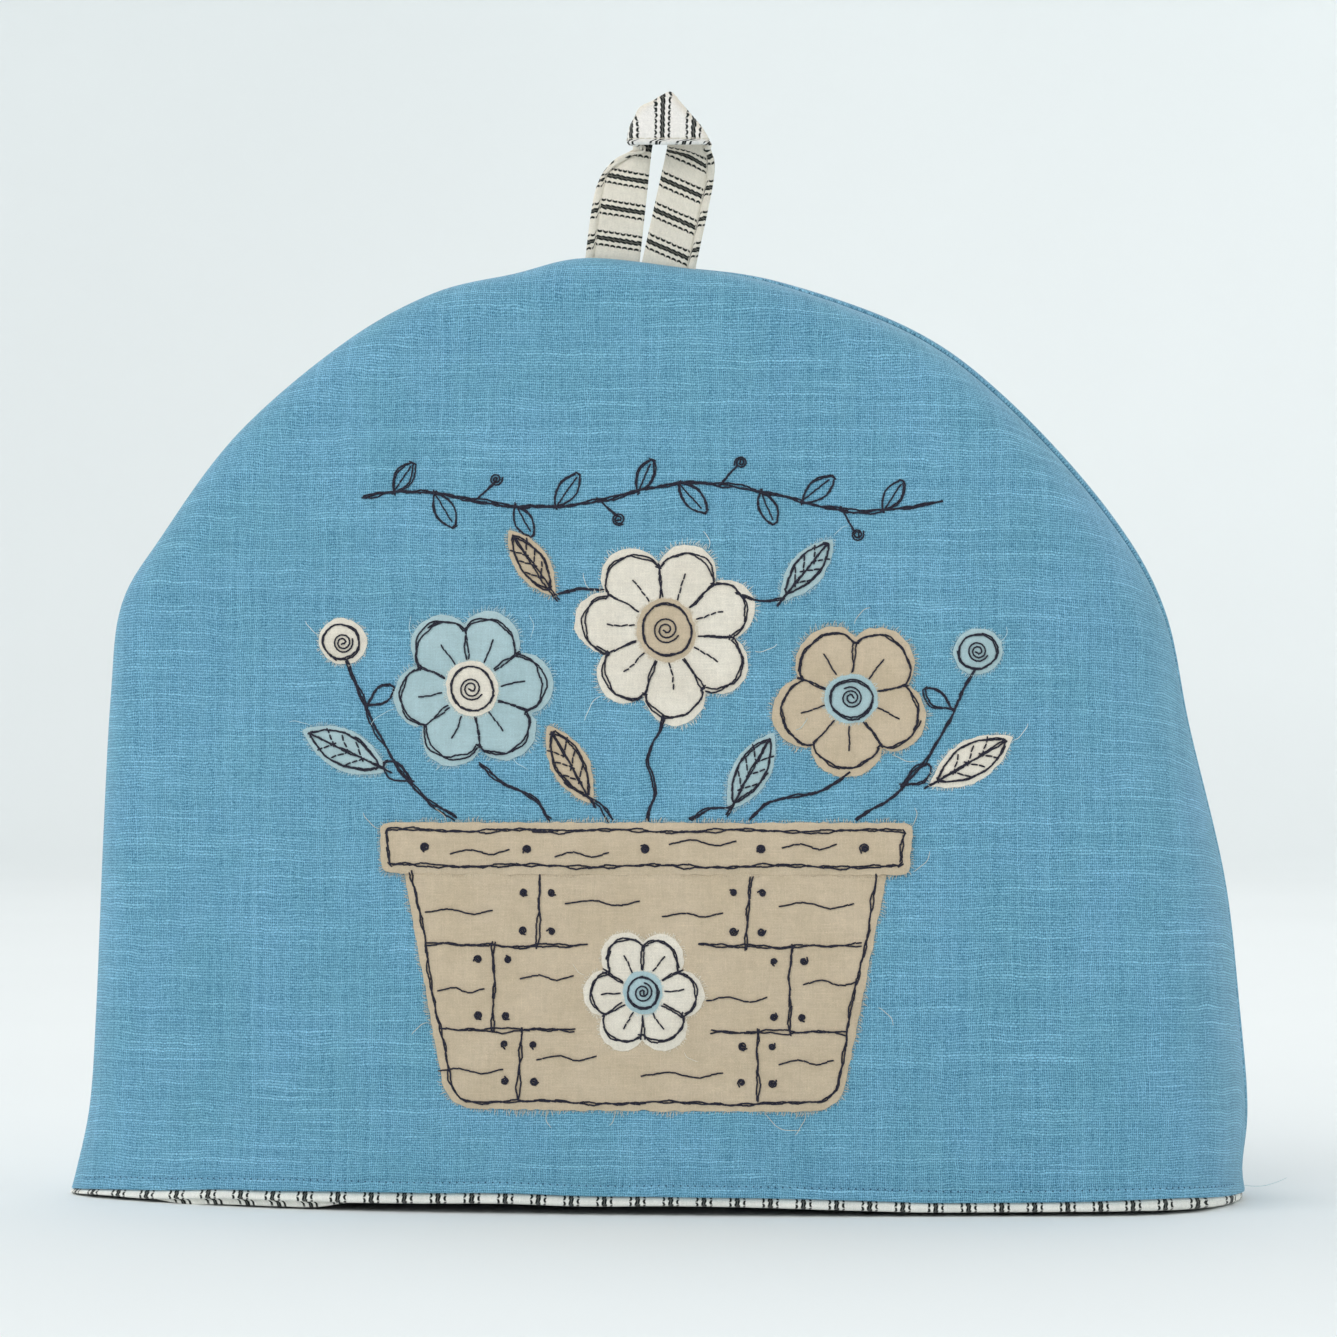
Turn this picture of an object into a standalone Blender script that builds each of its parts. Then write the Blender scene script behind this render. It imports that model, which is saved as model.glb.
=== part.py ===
"""Tea cosy: two padded linen panels, a ticking hem facing, a folded hanging loop and cloth patches.

The cosy stands on its hem. +X runs along the seam to the right of the decorated front, +Y to the
back and +Z up. The origin is on the ground under the middle of the cosy. Every length is in
millimetres until a mesh is made, where MM turns it into metres.
"""

import math
from dataclasses import dataclass

import bmesh
import bpy
import numpy as np
from mathutils.geometry import delaunay_2d_cdt

MM = 0.001

# --- The seam, seen from the front: x, z from the left end of the hem over the top to the right end.
SEAM_OUTLINE = (
    (-176.5, 0.0),
    (-174.0, 9.0),
    (-169.8, 28.0),
    (-167.8, 56.0),
    (-165.6, 110.0),
    (-163.4, 150.0),
    (-160.4, 177.0),
    (-149.0, 196.5),
    (-126.5, 228.0),
    (-94.6, 255.0),
    (-57.0, 273.0),
    (-24.0, 281.0),
    (7.0, 277.5),
    (36.0, 272.5),
    (76.0, 259.0),
    (103.0, 238.5),
    (132.0, 205.5),
    (150.5, 175.5),
    (158.5, 140.0),
    (168.0, 95.0),
    (172.0, 56.0),
    (174.5, 26.0),
    (173.6, 9.0),
    (174.8, 0.0),
)
SEAM_POINTS = 241
RIM_STEP = 4
SEAM_GAP = 0.3

# --- Cloth thicknesses and the clearances between neighbouring pieces.
PANEL_THICKNESS = 3.0
FACING_THICKNESS = 1.1
LOOP_THICKNESS = 1.4
PATCH_THICKNESS = 1.0
FACING_GAP = 0.8
FOOT_SET_BACK = 0.4
HEM_GAP = 0.35
PATCH_GAP = 0.5

# --- The panels: their rounded rim at the seam and their bulge.
RIM_WIDTH = 12.0
RIM_DEPTH = 8.5
RIGHT_RIM_EXTRA = 7.5
BULGE = 50.0
BULGE_POWER = 1.45
BULGE_HEIGHT = 284.0
SHOULDER_HEIGHT = 177.0
DENT_FADE = 25.0
PANEL_SPACING = 15.0
RIM_RINGS = 5
TOUCHING = 0.05

# --- The hem: height of the blue edge above the ticking's fold, by share of the width.
BLUE_EDGE_HEIGHT = ((0.0, 1.2), (0.05, 2.4), (0.12, 4.2), (0.5, 4.0), (0.9, 4.2), (1.0, 2.0))
LIFT_HEIGHT = 36.0
FACING_HEIGHTS = (12.0, 20.0)
HEM_STATIONS = 21

# --- The hanging loop.
LOOP_WIDTH = 16.5
LOOP_FOLD_RADIUS = 1.0
LOOP_BASE_X = -5.4
LOOP_BASE_Z = 279.5
LOOP_APEX_Z = 329.7
LOOP_LEAN = 0.165
LOOP_CURL_RADIUS = 13.2
LOOP_CURL_REACH = 16.0
LOOP_ARM_CLOSING = 1.9
LOOP_SEAT_GAP = 0.7
LOOP_HEAD_STEPS = 21
LOOP_ARM_STEPS = 6
LOOP_ACROSS = 8
LOOP_ARM_GUESS = 30.0
LOOP_TRIALS = 12


@dataclass(frozen=True)
class Side:
    """One side of the cosy; its tables run over the share of the width or of the seam."""

    way: float
    lens: tuple
    puff: tuple
    lift: tuple
    dents: tuple


# Lens: share of the width, share of the bulge. Puff: share along the seam, mm past the seam line.
# Lift: share of the width, mm of the hem above the ground. Dents: x, z, reach x, reach z, depth.
FRONT = Side(
    way=-1.0,
    lens=((0.0, 0.0), (0.05, 0.26), (0.12, 0.52), (0.2, 0.73), (0.31, 0.88), (0.45, 0.97),
          (0.6, 1.0), (0.76, 0.96), (0.88, 0.83), (0.95, 0.57), (1.0, 0.0)),
    puff=((0.0, 0.6), (0.15, 1.0), (0.45, 1.2), (0.55, 0.4), (1.0, 0.3)),
    lift=((0.0, 0.0), (0.06, 1.2), (0.15, 2.4), (0.35, 2.6), (0.48, 1.4), (0.58, 0.0),
          (0.92, 0.0), (0.97, 0.4), (1.0, 0.0)),
    dents=((-108.0, 148.0, 34.0, 40.0, 1.6), (-93.0, 105.0, 16.0, 48.0, 1.2),
           (-118.0, 24.0, 52.0, 15.0, 1.5), (118.0, 60.0, 30.0, 60.0, 1.2),
           (60.0, 232.0, 60.0, 22.0, 1.2), (-60.0, 226.0, 50.0, 26.0, -1.0)),
)
BACK = Side(
    way=1.0,
    lens=((0.0, 0.0), (0.05, 0.38), (0.13, 0.66), (0.25, 0.88), (0.4, 0.98), (0.55, 1.0),
          (0.7, 0.96), (0.82, 0.84), (0.92, 0.55), (1.0, 0.0)),
    puff=((0.0, 0.3), (0.4, 0.6), (0.56, 1.8), (0.85, 1.8), (0.96, 1.2), (1.0, 0.7)),
    lift=((0.0, 0.0), (1.0, 0.0)),
    dents=((-70.0, 150.0, 40.0, 70.0, 1.8), (85.0, 96.0, 34.0, 60.0, 1.6),
           (10.0, 216.0, 70.0, 24.0, 1.4), (100.0, 22.0, 48.0, 14.0, 1.2)),
)

# --- The patches. Planter and its rim band: half widths and heights.
PLANTER = {"x": -2.0, "bottom": 30.0, "top": 106.0, "half_bottom": 57.0, "half_top": 72.0}
PLANTER_BAND = {"x": -2.0, "bottom": 98.0, "top": 113.0, "half_bottom": 77.0, "half_top": 78.0}
PLANTER_CORNER = 9.0
BAND_CORNER = 3.0

# Flowers: name, x, z, radius, petals, turn in degrees, layer, cloth.
FLOWERS = (
    ("flower_left", -53.0, 152.0, 24.0, 6, 8.0, 0, "pale_blue"),
    ("flower_middle", 4.0, 169.0, 27.0, 7, 20.0, 0, "cream"),
    ("flower_right", 58.0, 149.0, 23.0, 5, 50.0, 0, "beige"),
    ("flower_planter", -2.0, 64.0, 18.0, 6, 0.0, 1, "cream"),
)
# Discs: name, x, z, radius, layer, cloth.
DISCS = (
    ("centre_left", -53.0, 152.0, 8.0, 1, "cream"),
    ("centre_middle", 4.0, 169.0, 9.0, 1, "beige"),
    ("centre_right", 58.0, 149.0, 7.5, 1, "pale_blue"),
    ("centre_planter", -2.0, 64.0, 6.0, 2, "pale_blue"),
    ("bud_left", -92.0, 166.0, 7.0, 0, "cream"),
    ("bud_right", 95.0, 163.0, 7.0, 0, "pale_blue"),
)
# Leaves: name, x, z, half length, half width, turn in degrees, layer, cloth.
LEAVES = (
    ("leaf_1", -91.0, 134.0, 14.0, 6.0, 155.0, 0, "pale_blue"),
    ("leaf_2", -24.0, 130.0, 13.0, 5.5, 120.0, 0, "beige"),
    ("leaf_3", 29.0, 128.0, 13.0, 5.5, 60.0, 0, "pale_blue"),
    ("leaf_4", 93.0, 131.0, 14.0, 6.0, 30.0, 0, "cream"),
    ("leaf_5", -36.0, 189.0, 12.0, 5.0, 125.0, 0, "beige"),
    ("leaf_6", 45.0, 187.0, 12.0, 5.0, 50.0, 0, "pale_blue"),
)
FLOWER_NOTCH = 0.26
FLOWER_POINTS_PER_PETAL = 7
DISC_POINTS = 14
LEAF_POINTS = 9
HAND_CUT_WOBBLE = 0.025
PATCH_SPACING = 12.0
PATCH_EDGE_CLEARANCE = 4.0
SLOPE_STEP = 2.0

# --- Colours, sRGB 0 to 1, and how rough each cloth is.
CLOTHS = {
    "linen": ((0.42, 0.62, 0.74), 0.9),
    "ticking": ((0.86, 0.83, 0.78), 0.88),
    "beige": ((0.78, 0.72, 0.62), 0.92),
    "pale_blue": ((0.68, 0.79, 0.81), 0.92),
    "cream": ((0.88, 0.86, 0.81), 0.92),
}


def smooth_curve(points, count, fine_steps=24):
    """Evenly spaced points on a Catmull-Rom curve through the given points."""
    knots = np.asarray(points, float)
    padded = np.vstack((2 * knots[0] - knots[1], knots, 2 * knots[-1] - knots[-2]))
    t = np.linspace(0.0, 1.0, fine_steps, endpoint=False)[:, None]
    spans = []
    for index in range(len(knots) - 1):
        a, b, c, d = padded[index : index + 4]
        cubic = (3 * b - a - 3 * c + d) * t**3
        square = (2 * a - 5 * b + 4 * c - d) * t**2
        spans.append(0.5 * (2 * b + (c - a) * t + square + cubic))
    fine = np.vstack((*spans, knots[-1:]))
    steps = np.linalg.norm(np.diff(fine, axis=0), axis=1)
    run = np.concatenate(([0.0], np.cumsum(steps)))
    at = np.linspace(0.0, run[-1], count)
    return np.column_stack([np.interp(at, run, fine[:, axis]) for axis in range(2)])


def table_value(table, share):
    """Value of a two-column table at each share, eased between its rows."""
    curve = smooth_curve(table, 200)
    return np.interp(share, curve[:, 0], curve[:, 1])


def ease(value):
    """Smooth step from 0 to 1."""
    clipped = np.clip(value, 0.0, 1.0)
    return clipped * clipped * (3.0 - 2.0 * clipped)


SEAM = smooth_curve(SEAM_OUTLINE, SEAM_POINTS)
SEAM_TOP = int(SEAM[:, 1].argmax())


def seam_normals():
    """Outward normals along the seam, turned level close to the ground."""
    tangent = np.gradient(SEAM, axis=0)
    normal = np.column_stack((-tangent[:, 1], tangent[:, 0]))
    normal[:, 1] *= ease(SEAM[:, 1] / 30.0)
    return normal / np.linalg.norm(normal, axis=1)[:, None]


SEAM_NORMALS = seam_normals()


def left_edge(z):
    """X of the seam's left side at a height."""
    return np.interp(z, SEAM[: SEAM_TOP + 1, 1], SEAM[: SEAM_TOP + 1, 0])


def right_edge(z):
    """X of the seam's right side at a height."""
    return np.interp(z, SEAM[:SEAM_TOP:-1, 1], SEAM[:SEAM_TOP:-1, 0])


def width_share(x, z):
    """Share of the cosy's width at each point, 0 at the left seam and 1 at the right seam."""
    left = left_edge(z)
    width = np.maximum(right_edge(z) - left, 1.0)
    return np.clip((x - left) / width, 0.0, 1.0)


def seam_reach(x, z):
    """Distance to the seam of each point, with the seam's outward normal and share there."""
    points = np.column_stack((x, z))
    starts = SEAM[:-1]
    run = np.diff(SEAM, axis=0)
    offset = points[:, None, :] - starts[None]
    along = (offset * run[None]).sum(axis=2) / (run**2).sum(axis=1)[None]
    along = np.clip(along, 0.0, 1.0)
    gap = np.linalg.norm(offset - run[None] * along[..., None], axis=2)
    nearest = gap.argmin(axis=1)
    rows = np.arange(len(points))
    part = along[rows, nearest][:, None]
    normal = SEAM_NORMALS[nearest] * (1.0 - part) + SEAM_NORMALS[nearest + 1] * part
    normal /= np.linalg.norm(normal, axis=1)[:, None]
    share = (nearest + part[:, 0]) / (len(SEAM) - 1)
    return gap[rows, nearest], normal, share


def panel_surface(side, x, z, seam_gap=SEAM_GAP):
    """Outer surface of a panel over flat points x, z: rounded rim, bulge, dents and lifted hem."""
    distance, normal, seam_share = seam_reach(x, z)
    share = width_share(x, z)
    turn = np.arccos(1.0 - np.minimum(distance, RIM_WIDTH) / RIM_WIDTH)
    low_right = ease((share - 0.75) / 0.25) * ease(1.0 - z / SHOULDER_HEIGHT)
    rim = (RIM_DEPTH + RIGHT_RIM_EXTRA * low_right) * np.sin(turn)
    bulge = BULGE * table_value(side.lens, share) * (1.0 - (z / BULGE_HEIGHT) ** BULGE_POWER)
    depth = rim + bulge
    fade = ease(distance / DENT_FADE)
    for dent_x, dent_z, reach_x, reach_z, dent_depth in side.dents:
        near = ((x - dent_x) / reach_x) ** 2 + ((z - dent_z) / reach_z) ** 2
        depth = depth - fade * dent_depth * np.exp(-near)
    puff = table_value(side.puff, seam_share) * np.sin(2.0 * turn)
    lift = table_value(side.lift, share) * ease(1.0 - z / LIFT_HEIGHT)
    return np.column_stack((
        x + normal[:, 0] * puff,
        side.way * (depth + seam_gap / 2.0),
        z + normal[:, 1] * puff + lift,
    ))


def blue_edge(share):
    """Height of the blue cloth's lower edge above the fold of the ticking."""
    return table_value(BLUE_EDGE_HEIGHT, share)


def rim_distances():
    """Distances from the seam of the rings that follow the rounded rim."""
    turn = np.linspace(0.0, math.pi / 2.0, RIM_RINGS + 1)
    return RIM_WIDTH * (1.0 - np.cos(turn))


def hem_stations():
    """Rows of (share of the inner width, mm past the left seam, mm past the right seam)."""
    rim = rim_distances()
    inner = np.linspace(0.0, 1.0, HEM_STATIONS + 2)[1:-1]
    left = [(0.0, distance, 0.0) for distance in rim]
    middle = [(share, RIM_WIDTH, RIM_WIDTH) for share in inner]
    right = [(1.0, 0.0, distance) for distance in rim[::-1]]
    return np.array(left + middle + right)


def station_x(z):
    """X of every hem station at a height, or at one height for each station."""
    share, past_left, past_right = hem_stations().T
    left = left_edge(z)
    right = right_edge(z)
    inner = share * (right - left - 2.0 * RIM_WIDTH)
    on_left = left + past_left
    on_right = right - past_right
    between = left + RIM_WIDTH + inner
    return np.where(share == 0.0, on_left, np.where(share == 1.0, on_right, between))


def hem_line():
    """Flat points of the blue hem edge from left to right, both seam ends included."""
    height = blue_edge(width_share(station_x(0.0), 0.0))
    return np.column_stack((station_x(height), height))


def triangulate(points, chains):
    """Triangles between flat points, bounded by the first chain and kept along the others."""
    edges = []
    for index, chain in enumerate(chains):
        closing = 1 if index == 0 else 0
        following = chain[1:] + chain[:closing]
        edges.extend(zip(chain, following))
    result = delaunay_2d_cdt([tuple(point) for point in points], edges, [], 1, 1e-5)
    flat = np.array([tuple(vertex) for vertex in result[0]])
    return flat, [tuple(face) for face in result[2]]


def panel_layout():
    """Flat points and triangles of a panel: rings along the seam and an even field inside."""
    hem = hem_line()
    arch = SEAM[RIM_STEP:-RIM_STEP:RIM_STEP]
    normal = SEAM_NORMALS[RIM_STEP:-RIM_STEP:RIM_STEP]
    points = [hem[0], *arch, *hem[-1:0:-1]]
    chains = [list(range(len(points)))]
    for distance in rim_distances()[1:]:
        ring = arch - normal * distance
        chains.append(list(range(len(points), len(points) + len(ring))))
        points.extend(ring)
    points.extend(field_points(PANEL_SPACING))
    return triangulate(points, chains)


def field_points(spacing):
    """Staggered rows of points that fill a panel inside its rim rings."""
    row_height = spacing * math.sqrt(3.0) / 2.0
    rows = []
    for row, z in enumerate(np.arange(spacing, BULGE_HEIGHT, row_height)):
        x = np.arange(-180.0, 180.0, spacing) + (row % 2) * spacing / 2.0
        rows.append(np.column_stack((x, np.full(len(x), z))))
    field = np.vstack(rows)
    inside = (field[:, 0] > left_edge(field[:, 1])) & (field[:, 0] < right_edge(field[:, 1]))
    field = field[inside]
    distance = seam_reach(field[:, 0], field[:, 1])[0]
    return field[distance > RIM_WIDTH + spacing * 0.45]


def mesh_normals(points, triangles):
    """Angle-weighted normals of a triangulated surface."""
    mesh = bmesh.new()
    vertices = [mesh.verts.new(point) for point in points]
    for triangle in triangles:
        mesh.faces.new([vertices[index] for index in triangle])
    mesh.normal_update()
    normals = np.array([tuple(vertex.normal) for vertex in vertices])
    mesh.free()
    return normals


def border_edges(triangles):
    """Edges that only one triangle uses, in that triangle's direction."""
    seen = {}
    for a, b, c in triangles:
        for edge in ((a, b), (b, c), (c, a)):
            seen[edge] = True
    return [edge for edge in seen if (edge[1], edge[0]) not in seen]


def cloth_solid(name, cloth, outer, inner, triangles):
    """Closed piece of cloth between an outer and an inner surface with the same triangles."""
    count = len(outer)
    faces = [tuple(triangle) for triangle in triangles]
    faces += [tuple(count + index for index in reversed(triangle)) for triangle in triangles]
    for a, b in border_edges(triangles):
        faces.append((b, a, count + a))
        faces.append((b, count + a, count + b))
    return add_piece(name, cloth, np.vstack((outer, inner)), faces)


def add_piece(name, cloth, points, faces):
    """Object in the scene from points in millimetres and faces, its normals made to point out."""
    mesh = bmesh.new()
    vertices = [mesh.verts.new(point * MM) for point in np.asarray(points, float)]
    for face in faces:
        mesh.faces.new([vertices[index] for index in face])
    bmesh.ops.recalc_face_normals(mesh, faces=mesh.faces)
    data = bpy.data.meshes.new(name)
    mesh.to_mesh(data)
    mesh.free()
    data.shade_smooth()
    data.set_sharp_from_angle(angle=math.radians(50.0))
    data.materials.append(cloth_material(cloth))
    piece = bpy.data.objects.new(name, data)
    bpy.context.scene.collection.objects.link(piece)
    return piece


def cloth_material(cloth):
    """Principled material of a cloth, made once."""
    if cloth in bpy.data.materials:
        return bpy.data.materials[cloth]
    colour, roughness = CLOTHS[cloth]
    linear = [((value + 0.055) / 1.055) ** 2.4 for value in colour]
    material = bpy.data.materials.new(cloth)
    material.use_nodes = True
    shader = material.node_tree.nodes["Principled BSDF"]
    shader.inputs["Base Color"].default_value = (*linear, 1.0)
    shader.inputs["Roughness"].default_value = roughness
    shader.inputs["Metallic"].default_value = 0.0
    return material


def build_panel(name, side):
    """Padded linen panel of one side, its seam face flat in the seam plane."""
    flat, triangles = panel_layout()
    outer = panel_surface(side, flat[:, 0], flat[:, 1])
    if side.way > 0.0:
        triangles = [tuple(reversed(triangle)) for triangle in triangles]
    normals = mesh_normals(outer, triangles)
    distance, seam_normal, _ = seam_reach(flat[:, 0], flat[:, 1])
    on_seam = distance < TOUCHING
    hem = hem_line()
    on_hem = flat[:, 1] < np.interp(flat[:, 0], hem[:, 0], hem[:, 1]) + TOUCHING
    normals[on_seam] = np.insert(seam_normal[on_seam], 1, 0.0, axis=1)
    normals[on_hem, 2] = 0.0
    normals /= np.linalg.norm(normals, axis=1)[:, None]
    inner = outer - normals * PANEL_THICKNESS
    inner[:, 1] = side.way * np.maximum(side.way * inner[:, 1], SEAM_GAP / 2.0)
    return cloth_solid(name, "linen", outer, inner, triangles)


def facing_loop(z, inset):
    """Closed loop of points round the cosy at a height, set in from the panels' outer surface."""
    height = np.broadcast_to(z, len(hem_stations()))
    x = station_x(height)
    front = panel_surface(FRONT, x, height, seam_gap=0.0)
    back = panel_surface(BACK, x, height, seam_gap=0.0)[-2:0:-1]
    loop = np.vstack((front, back))
    ahead = np.roll(loop, -1, axis=0) - np.roll(loop, 1, axis=0)
    outward = np.column_stack((ahead[:, 1], -ahead[:, 0], np.zeros(len(loop))))
    outward /= np.linalg.norm(outward, axis=1)[:, None]
    return loop - outward * inset


def build_facing():
    """Ticking band: a foot below the blue hem and an upstand behind the panels."""
    foot_top = hem_line()[:, 1] - HEM_GAP
    outside = PANEL_THICKNESS + FACING_GAP
    inside = outside + FACING_THICKNESS
    middle, top = FACING_HEIGHTS
    profile = (
        (0.0, FOOT_SET_BACK),
        (foot_top, FOOT_SET_BACK),
        (foot_top, outside),
        (middle, outside),
        (top, outside),
        (top, inside),
        (middle, inside),
        (0.0, inside),
    )
    loops = [facing_loop(z, inset) for z, inset in profile]
    count = len(loops[0])
    faces = []
    for row in range(len(loops)):
        next_row = (row + 1) % len(loops)
        for column in range(count):
            next_column = (column + 1) % count
            a = row * count + column
            b = row * count + next_column
            c = next_row * count + next_column
            d = next_row * count + column
            faces.append((a, b, c))
            faces.append((a, c, d))
    return add_piece("hem_facing", "ticking", np.vstack(loops), faces)


def loop_arm_end(across):
    """Distance along the strip at which an arm meets the top of the seam, by trial."""
    slack = LOOP_WIDTH + math.pi * LOOP_FOLD_RADIUS / math.sqrt(2.0)
    ends = []
    for sign in (-1.0, 1.0):
        along = np.full(len(across), slack + LOOP_ARM_GUESS)
        for _ in range(LOOP_TRIALS):
            point = loop_surface(sign * along, across)
            seam_z = np.interp(point[:, 0], SEAM[:, 0], SEAM[:, 1])
            along = along + point[:, 2] - seam_z - LOOP_SEAT_GAP
        ends.append(along)
    return ends


def loop_surface(along, across):
    """Middle of the loop's strip: an arm, a diagonal fold, the front, a second fold, an arm."""
    sign = np.where(along < 0.0, -1.0, 1.0)
    run = np.abs(along)
    radius = LOOP_FOLD_RADIUS
    past = (run + across - LOOP_WIDTH) / math.sqrt(2.0)
    angle = np.clip(past / radius, 0.0, math.pi)
    behind = np.maximum(past - math.pi * radius, 0.0)
    out = np.minimum(past, 0.0) + radius * np.sin(angle) - behind
    foot_x = run - past / math.sqrt(2.0)
    foot_z = across - past / math.sqrt(2.0)
    x = sign * (foot_x + out / math.sqrt(2.0))
    z = foot_z + out / math.sqrt(2.0)
    y = radius * (1.0 - np.cos(angle)) - 2.0 * radius
    arm_height = LOOP_APEX_Z - LOOP_WIDTH - LOOP_BASE_Z
    x = x - sign * LOOP_ARM_CLOSING * np.clip(-z / arm_height, 0.0, 1.0)
    curl = ease((z + LOOP_CURL_REACH) / LOOP_CURL_REACH) / LOOP_CURL_RADIUS
    bend = np.maximum(curl, 1e-6)
    curled_x = np.sin(x * bend) / bend
    curled_y = (1.0 - np.cos(x * bend)) / bend
    world_z = z + LOOP_APEX_Z - LOOP_WIDTH
    lean = LOOP_LEAN * (world_z - LOOP_BASE_Z)
    return np.column_stack((LOOP_BASE_X + lean + curled_x, y + curled_y, world_z))


def build_loop():
    """Ticking strip with the true folds of the hanging loop."""
    across = np.linspace(0.0, LOOP_WIDTH, LOOP_ACROSS + 1)
    left_end, right_end = loop_arm_end(across)
    head = LOOP_WIDTH + 2.0 * math.pi * LOOP_FOLD_RADIUS
    rows = []
    for share in np.linspace(1.0, 0.0, LOOP_ARM_STEPS + 1)[:-1]:
        rows.append(-(head + (left_end - head) * share))
    for along in np.linspace(-head, head, 2 * LOOP_HEAD_STEPS + 1):
        rows.append(np.full(len(across), along))
    for share in np.linspace(0.0, 1.0, LOOP_ARM_STEPS + 1)[1:]:
        rows.append(head + (right_end - head) * share)
    middle = np.array([loop_surface(row, across) for row in rows])
    normal = np.cross(np.gradient(middle, axis=0), np.gradient(middle, axis=1))
    normal /= np.linalg.norm(normal, axis=2)[..., None]
    half = normal * LOOP_THICKNESS / 2.0
    columns = len(across)
    triangles = []
    for row in range(len(rows) - 1):
        for column in range(columns - 1):
            a = row * columns + column
            triangles.append((a, a + 1, a + columns + 1))
            triangles.append((a, a + columns + 1, a + columns))
    outer = (middle + half).reshape(-1, 3)
    inner = (middle - half).reshape(-1, 3)
    return cloth_solid("hanging_loop", "ticking", outer, inner, triangles)


def rounded_corners(corners, radius, steps=3):
    """Outline through the corners of a shape, each rounded by a short arc."""
    outline = []
    for index, corner in enumerate(corners):
        before = np.subtract(corners[index - 1], corner)
        after = np.subtract(corners[(index + 1) % len(corners)], corner)
        start = np.array(corner) + before / np.linalg.norm(before) * radius
        end = np.array(corner) + after / np.linalg.norm(after) * radius
        for t in np.linspace(0.0, 1.0, steps + 1):
            outline.append((1 - t) ** 2 * start + 2 * t * (1 - t) * np.array(corner) + t**2 * end)
    return np.array(outline)


def evened(outline, spacing):
    """The same closed outline with points added on its long straight runs."""
    evened_points = []
    for index, point in enumerate(outline):
        following = outline[(index + 1) % len(outline)]
        parts = max(1, round(float(np.linalg.norm(following - point)) / spacing))
        for part in range(parts):
            evened_points.append(point + (following - point) * part / parts)
    return np.array(evened_points)


def tub_outline(shape, corner):
    """Outline of a strip or tub with sloping ends and rounded corners."""
    corners = (
        (shape["x"] - shape["half_bottom"], shape["bottom"]),
        (shape["x"] + shape["half_bottom"], shape["bottom"]),
        (shape["x"] + shape["half_top"], shape["top"]),
        (shape["x"] - shape["half_top"], shape["top"]),
    )
    return evened(rounded_corners(corners, corner), PATCH_SPACING)


def flower_outline(x, z, radius, petals, turn):
    """Outline of a flower head with round petals, slightly uneven as if cut by hand."""
    angle = np.linspace(0.0, 2.0 * math.pi, petals * FLOWER_POINTS_PER_PETAL, endpoint=False)
    petal = np.abs(np.cos(petals * angle / 2.0)) ** 0.7
    wobble = HAND_CUT_WOBBLE * np.sin(2.0 * angle + x) + HAND_CUT_WOBBLE * np.cos(3.0 * angle + z)
    reach = radius * (1.0 - FLOWER_NOTCH + FLOWER_NOTCH * petal + wobble)
    turned = angle + math.radians(turn)
    return np.column_stack((x + reach * np.cos(turned), z + reach * np.sin(turned)))


def disc_outline(x, z, radius):
    """Outline of a small round patch, slightly uneven."""
    angle = np.linspace(0.0, 2.0 * math.pi, DISC_POINTS, endpoint=False)
    reach = radius * (1.0 + 2.0 * HAND_CUT_WOBBLE * np.sin(2.0 * angle + x))
    return np.column_stack((x + reach * np.cos(angle), z + reach * np.sin(angle)))


def leaf_outline(x, z, half_length, half_width, turn):
    """Outline of a pointed leaf about its middle."""
    along = np.linspace(-1.0, 1.0, LEAF_POINTS)
    edge = half_width * np.cos(along * math.pi / 2.0) ** 0.8
    upper = np.column_stack((along * half_length, edge))
    lower = np.column_stack((along * half_length, -edge))[-2:0:-1]
    leaf = np.vstack((upper[::-1], lower[::-1]))
    cos_turn = math.cos(math.radians(turn))
    sin_turn = math.sin(math.radians(turn))
    return np.column_stack((
        x + leaf[:, 0] * cos_turn - leaf[:, 1] * sin_turn,
        z + leaf[:, 0] * sin_turn + leaf[:, 1] * cos_turn,
    ))


def inside_outline(points, outline):
    """Which points lie inside a closed outline."""
    inside = np.zeros(len(points), bool)
    for start, end in zip(outline, np.roll(outline, -1, axis=0)):
        crosses = (start[1] > points[:, 1]) != (end[1] > points[:, 1])
        rise = end[1] - start[1] if end[1] != start[1] else 1.0
        at = start[0] + (end[0] - start[0]) * (points[:, 1] - start[1]) / rise
        inside ^= crosses & (points[:, 0] < at)
    return inside


def build_patch(name, cloth, outline, layer):
    """Thin patch lying on the front panel, or on the patches below its layer."""
    low = outline.min(axis=0)
    high = outline.max(axis=0)
    grid_x, grid_z = np.meshgrid(
        np.arange(low[0], high[0], PATCH_SPACING) + PATCH_SPACING / 2.0,
        np.arange(low[1], high[1], PATCH_SPACING) + PATCH_SPACING / 2.0,
    )
    grid = np.column_stack((grid_x.ravel(), grid_z.ravel()))
    grid = grid[inside_outline(grid, outline)]
    clear = np.array([np.linalg.norm(outline - point, axis=1).min() for point in grid])
    grid = grid[clear > PATCH_EDGE_CLEARANCE] if len(grid) else grid
    flat, triangles = triangulate([*outline, *grid], [list(range(len(outline)))])
    surface = panel_surface(FRONT, flat[:, 0], flat[:, 1])
    over_x = panel_surface(FRONT, flat[:, 0] + SLOPE_STEP, flat[:, 1]) - surface
    over_z = panel_surface(FRONT, flat[:, 0], flat[:, 1] + SLOPE_STEP) - surface
    normal = np.cross(over_x, over_z)
    normal /= np.linalg.norm(normal, axis=1)[:, None]
    under = PATCH_GAP + layer * (PATCH_THICKNESS + PATCH_GAP)
    inner = surface + normal * under
    outer = surface + normal * (under + PATCH_THICKNESS)
    return cloth_solid(name, cloth, outer, inner, triangles)


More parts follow.
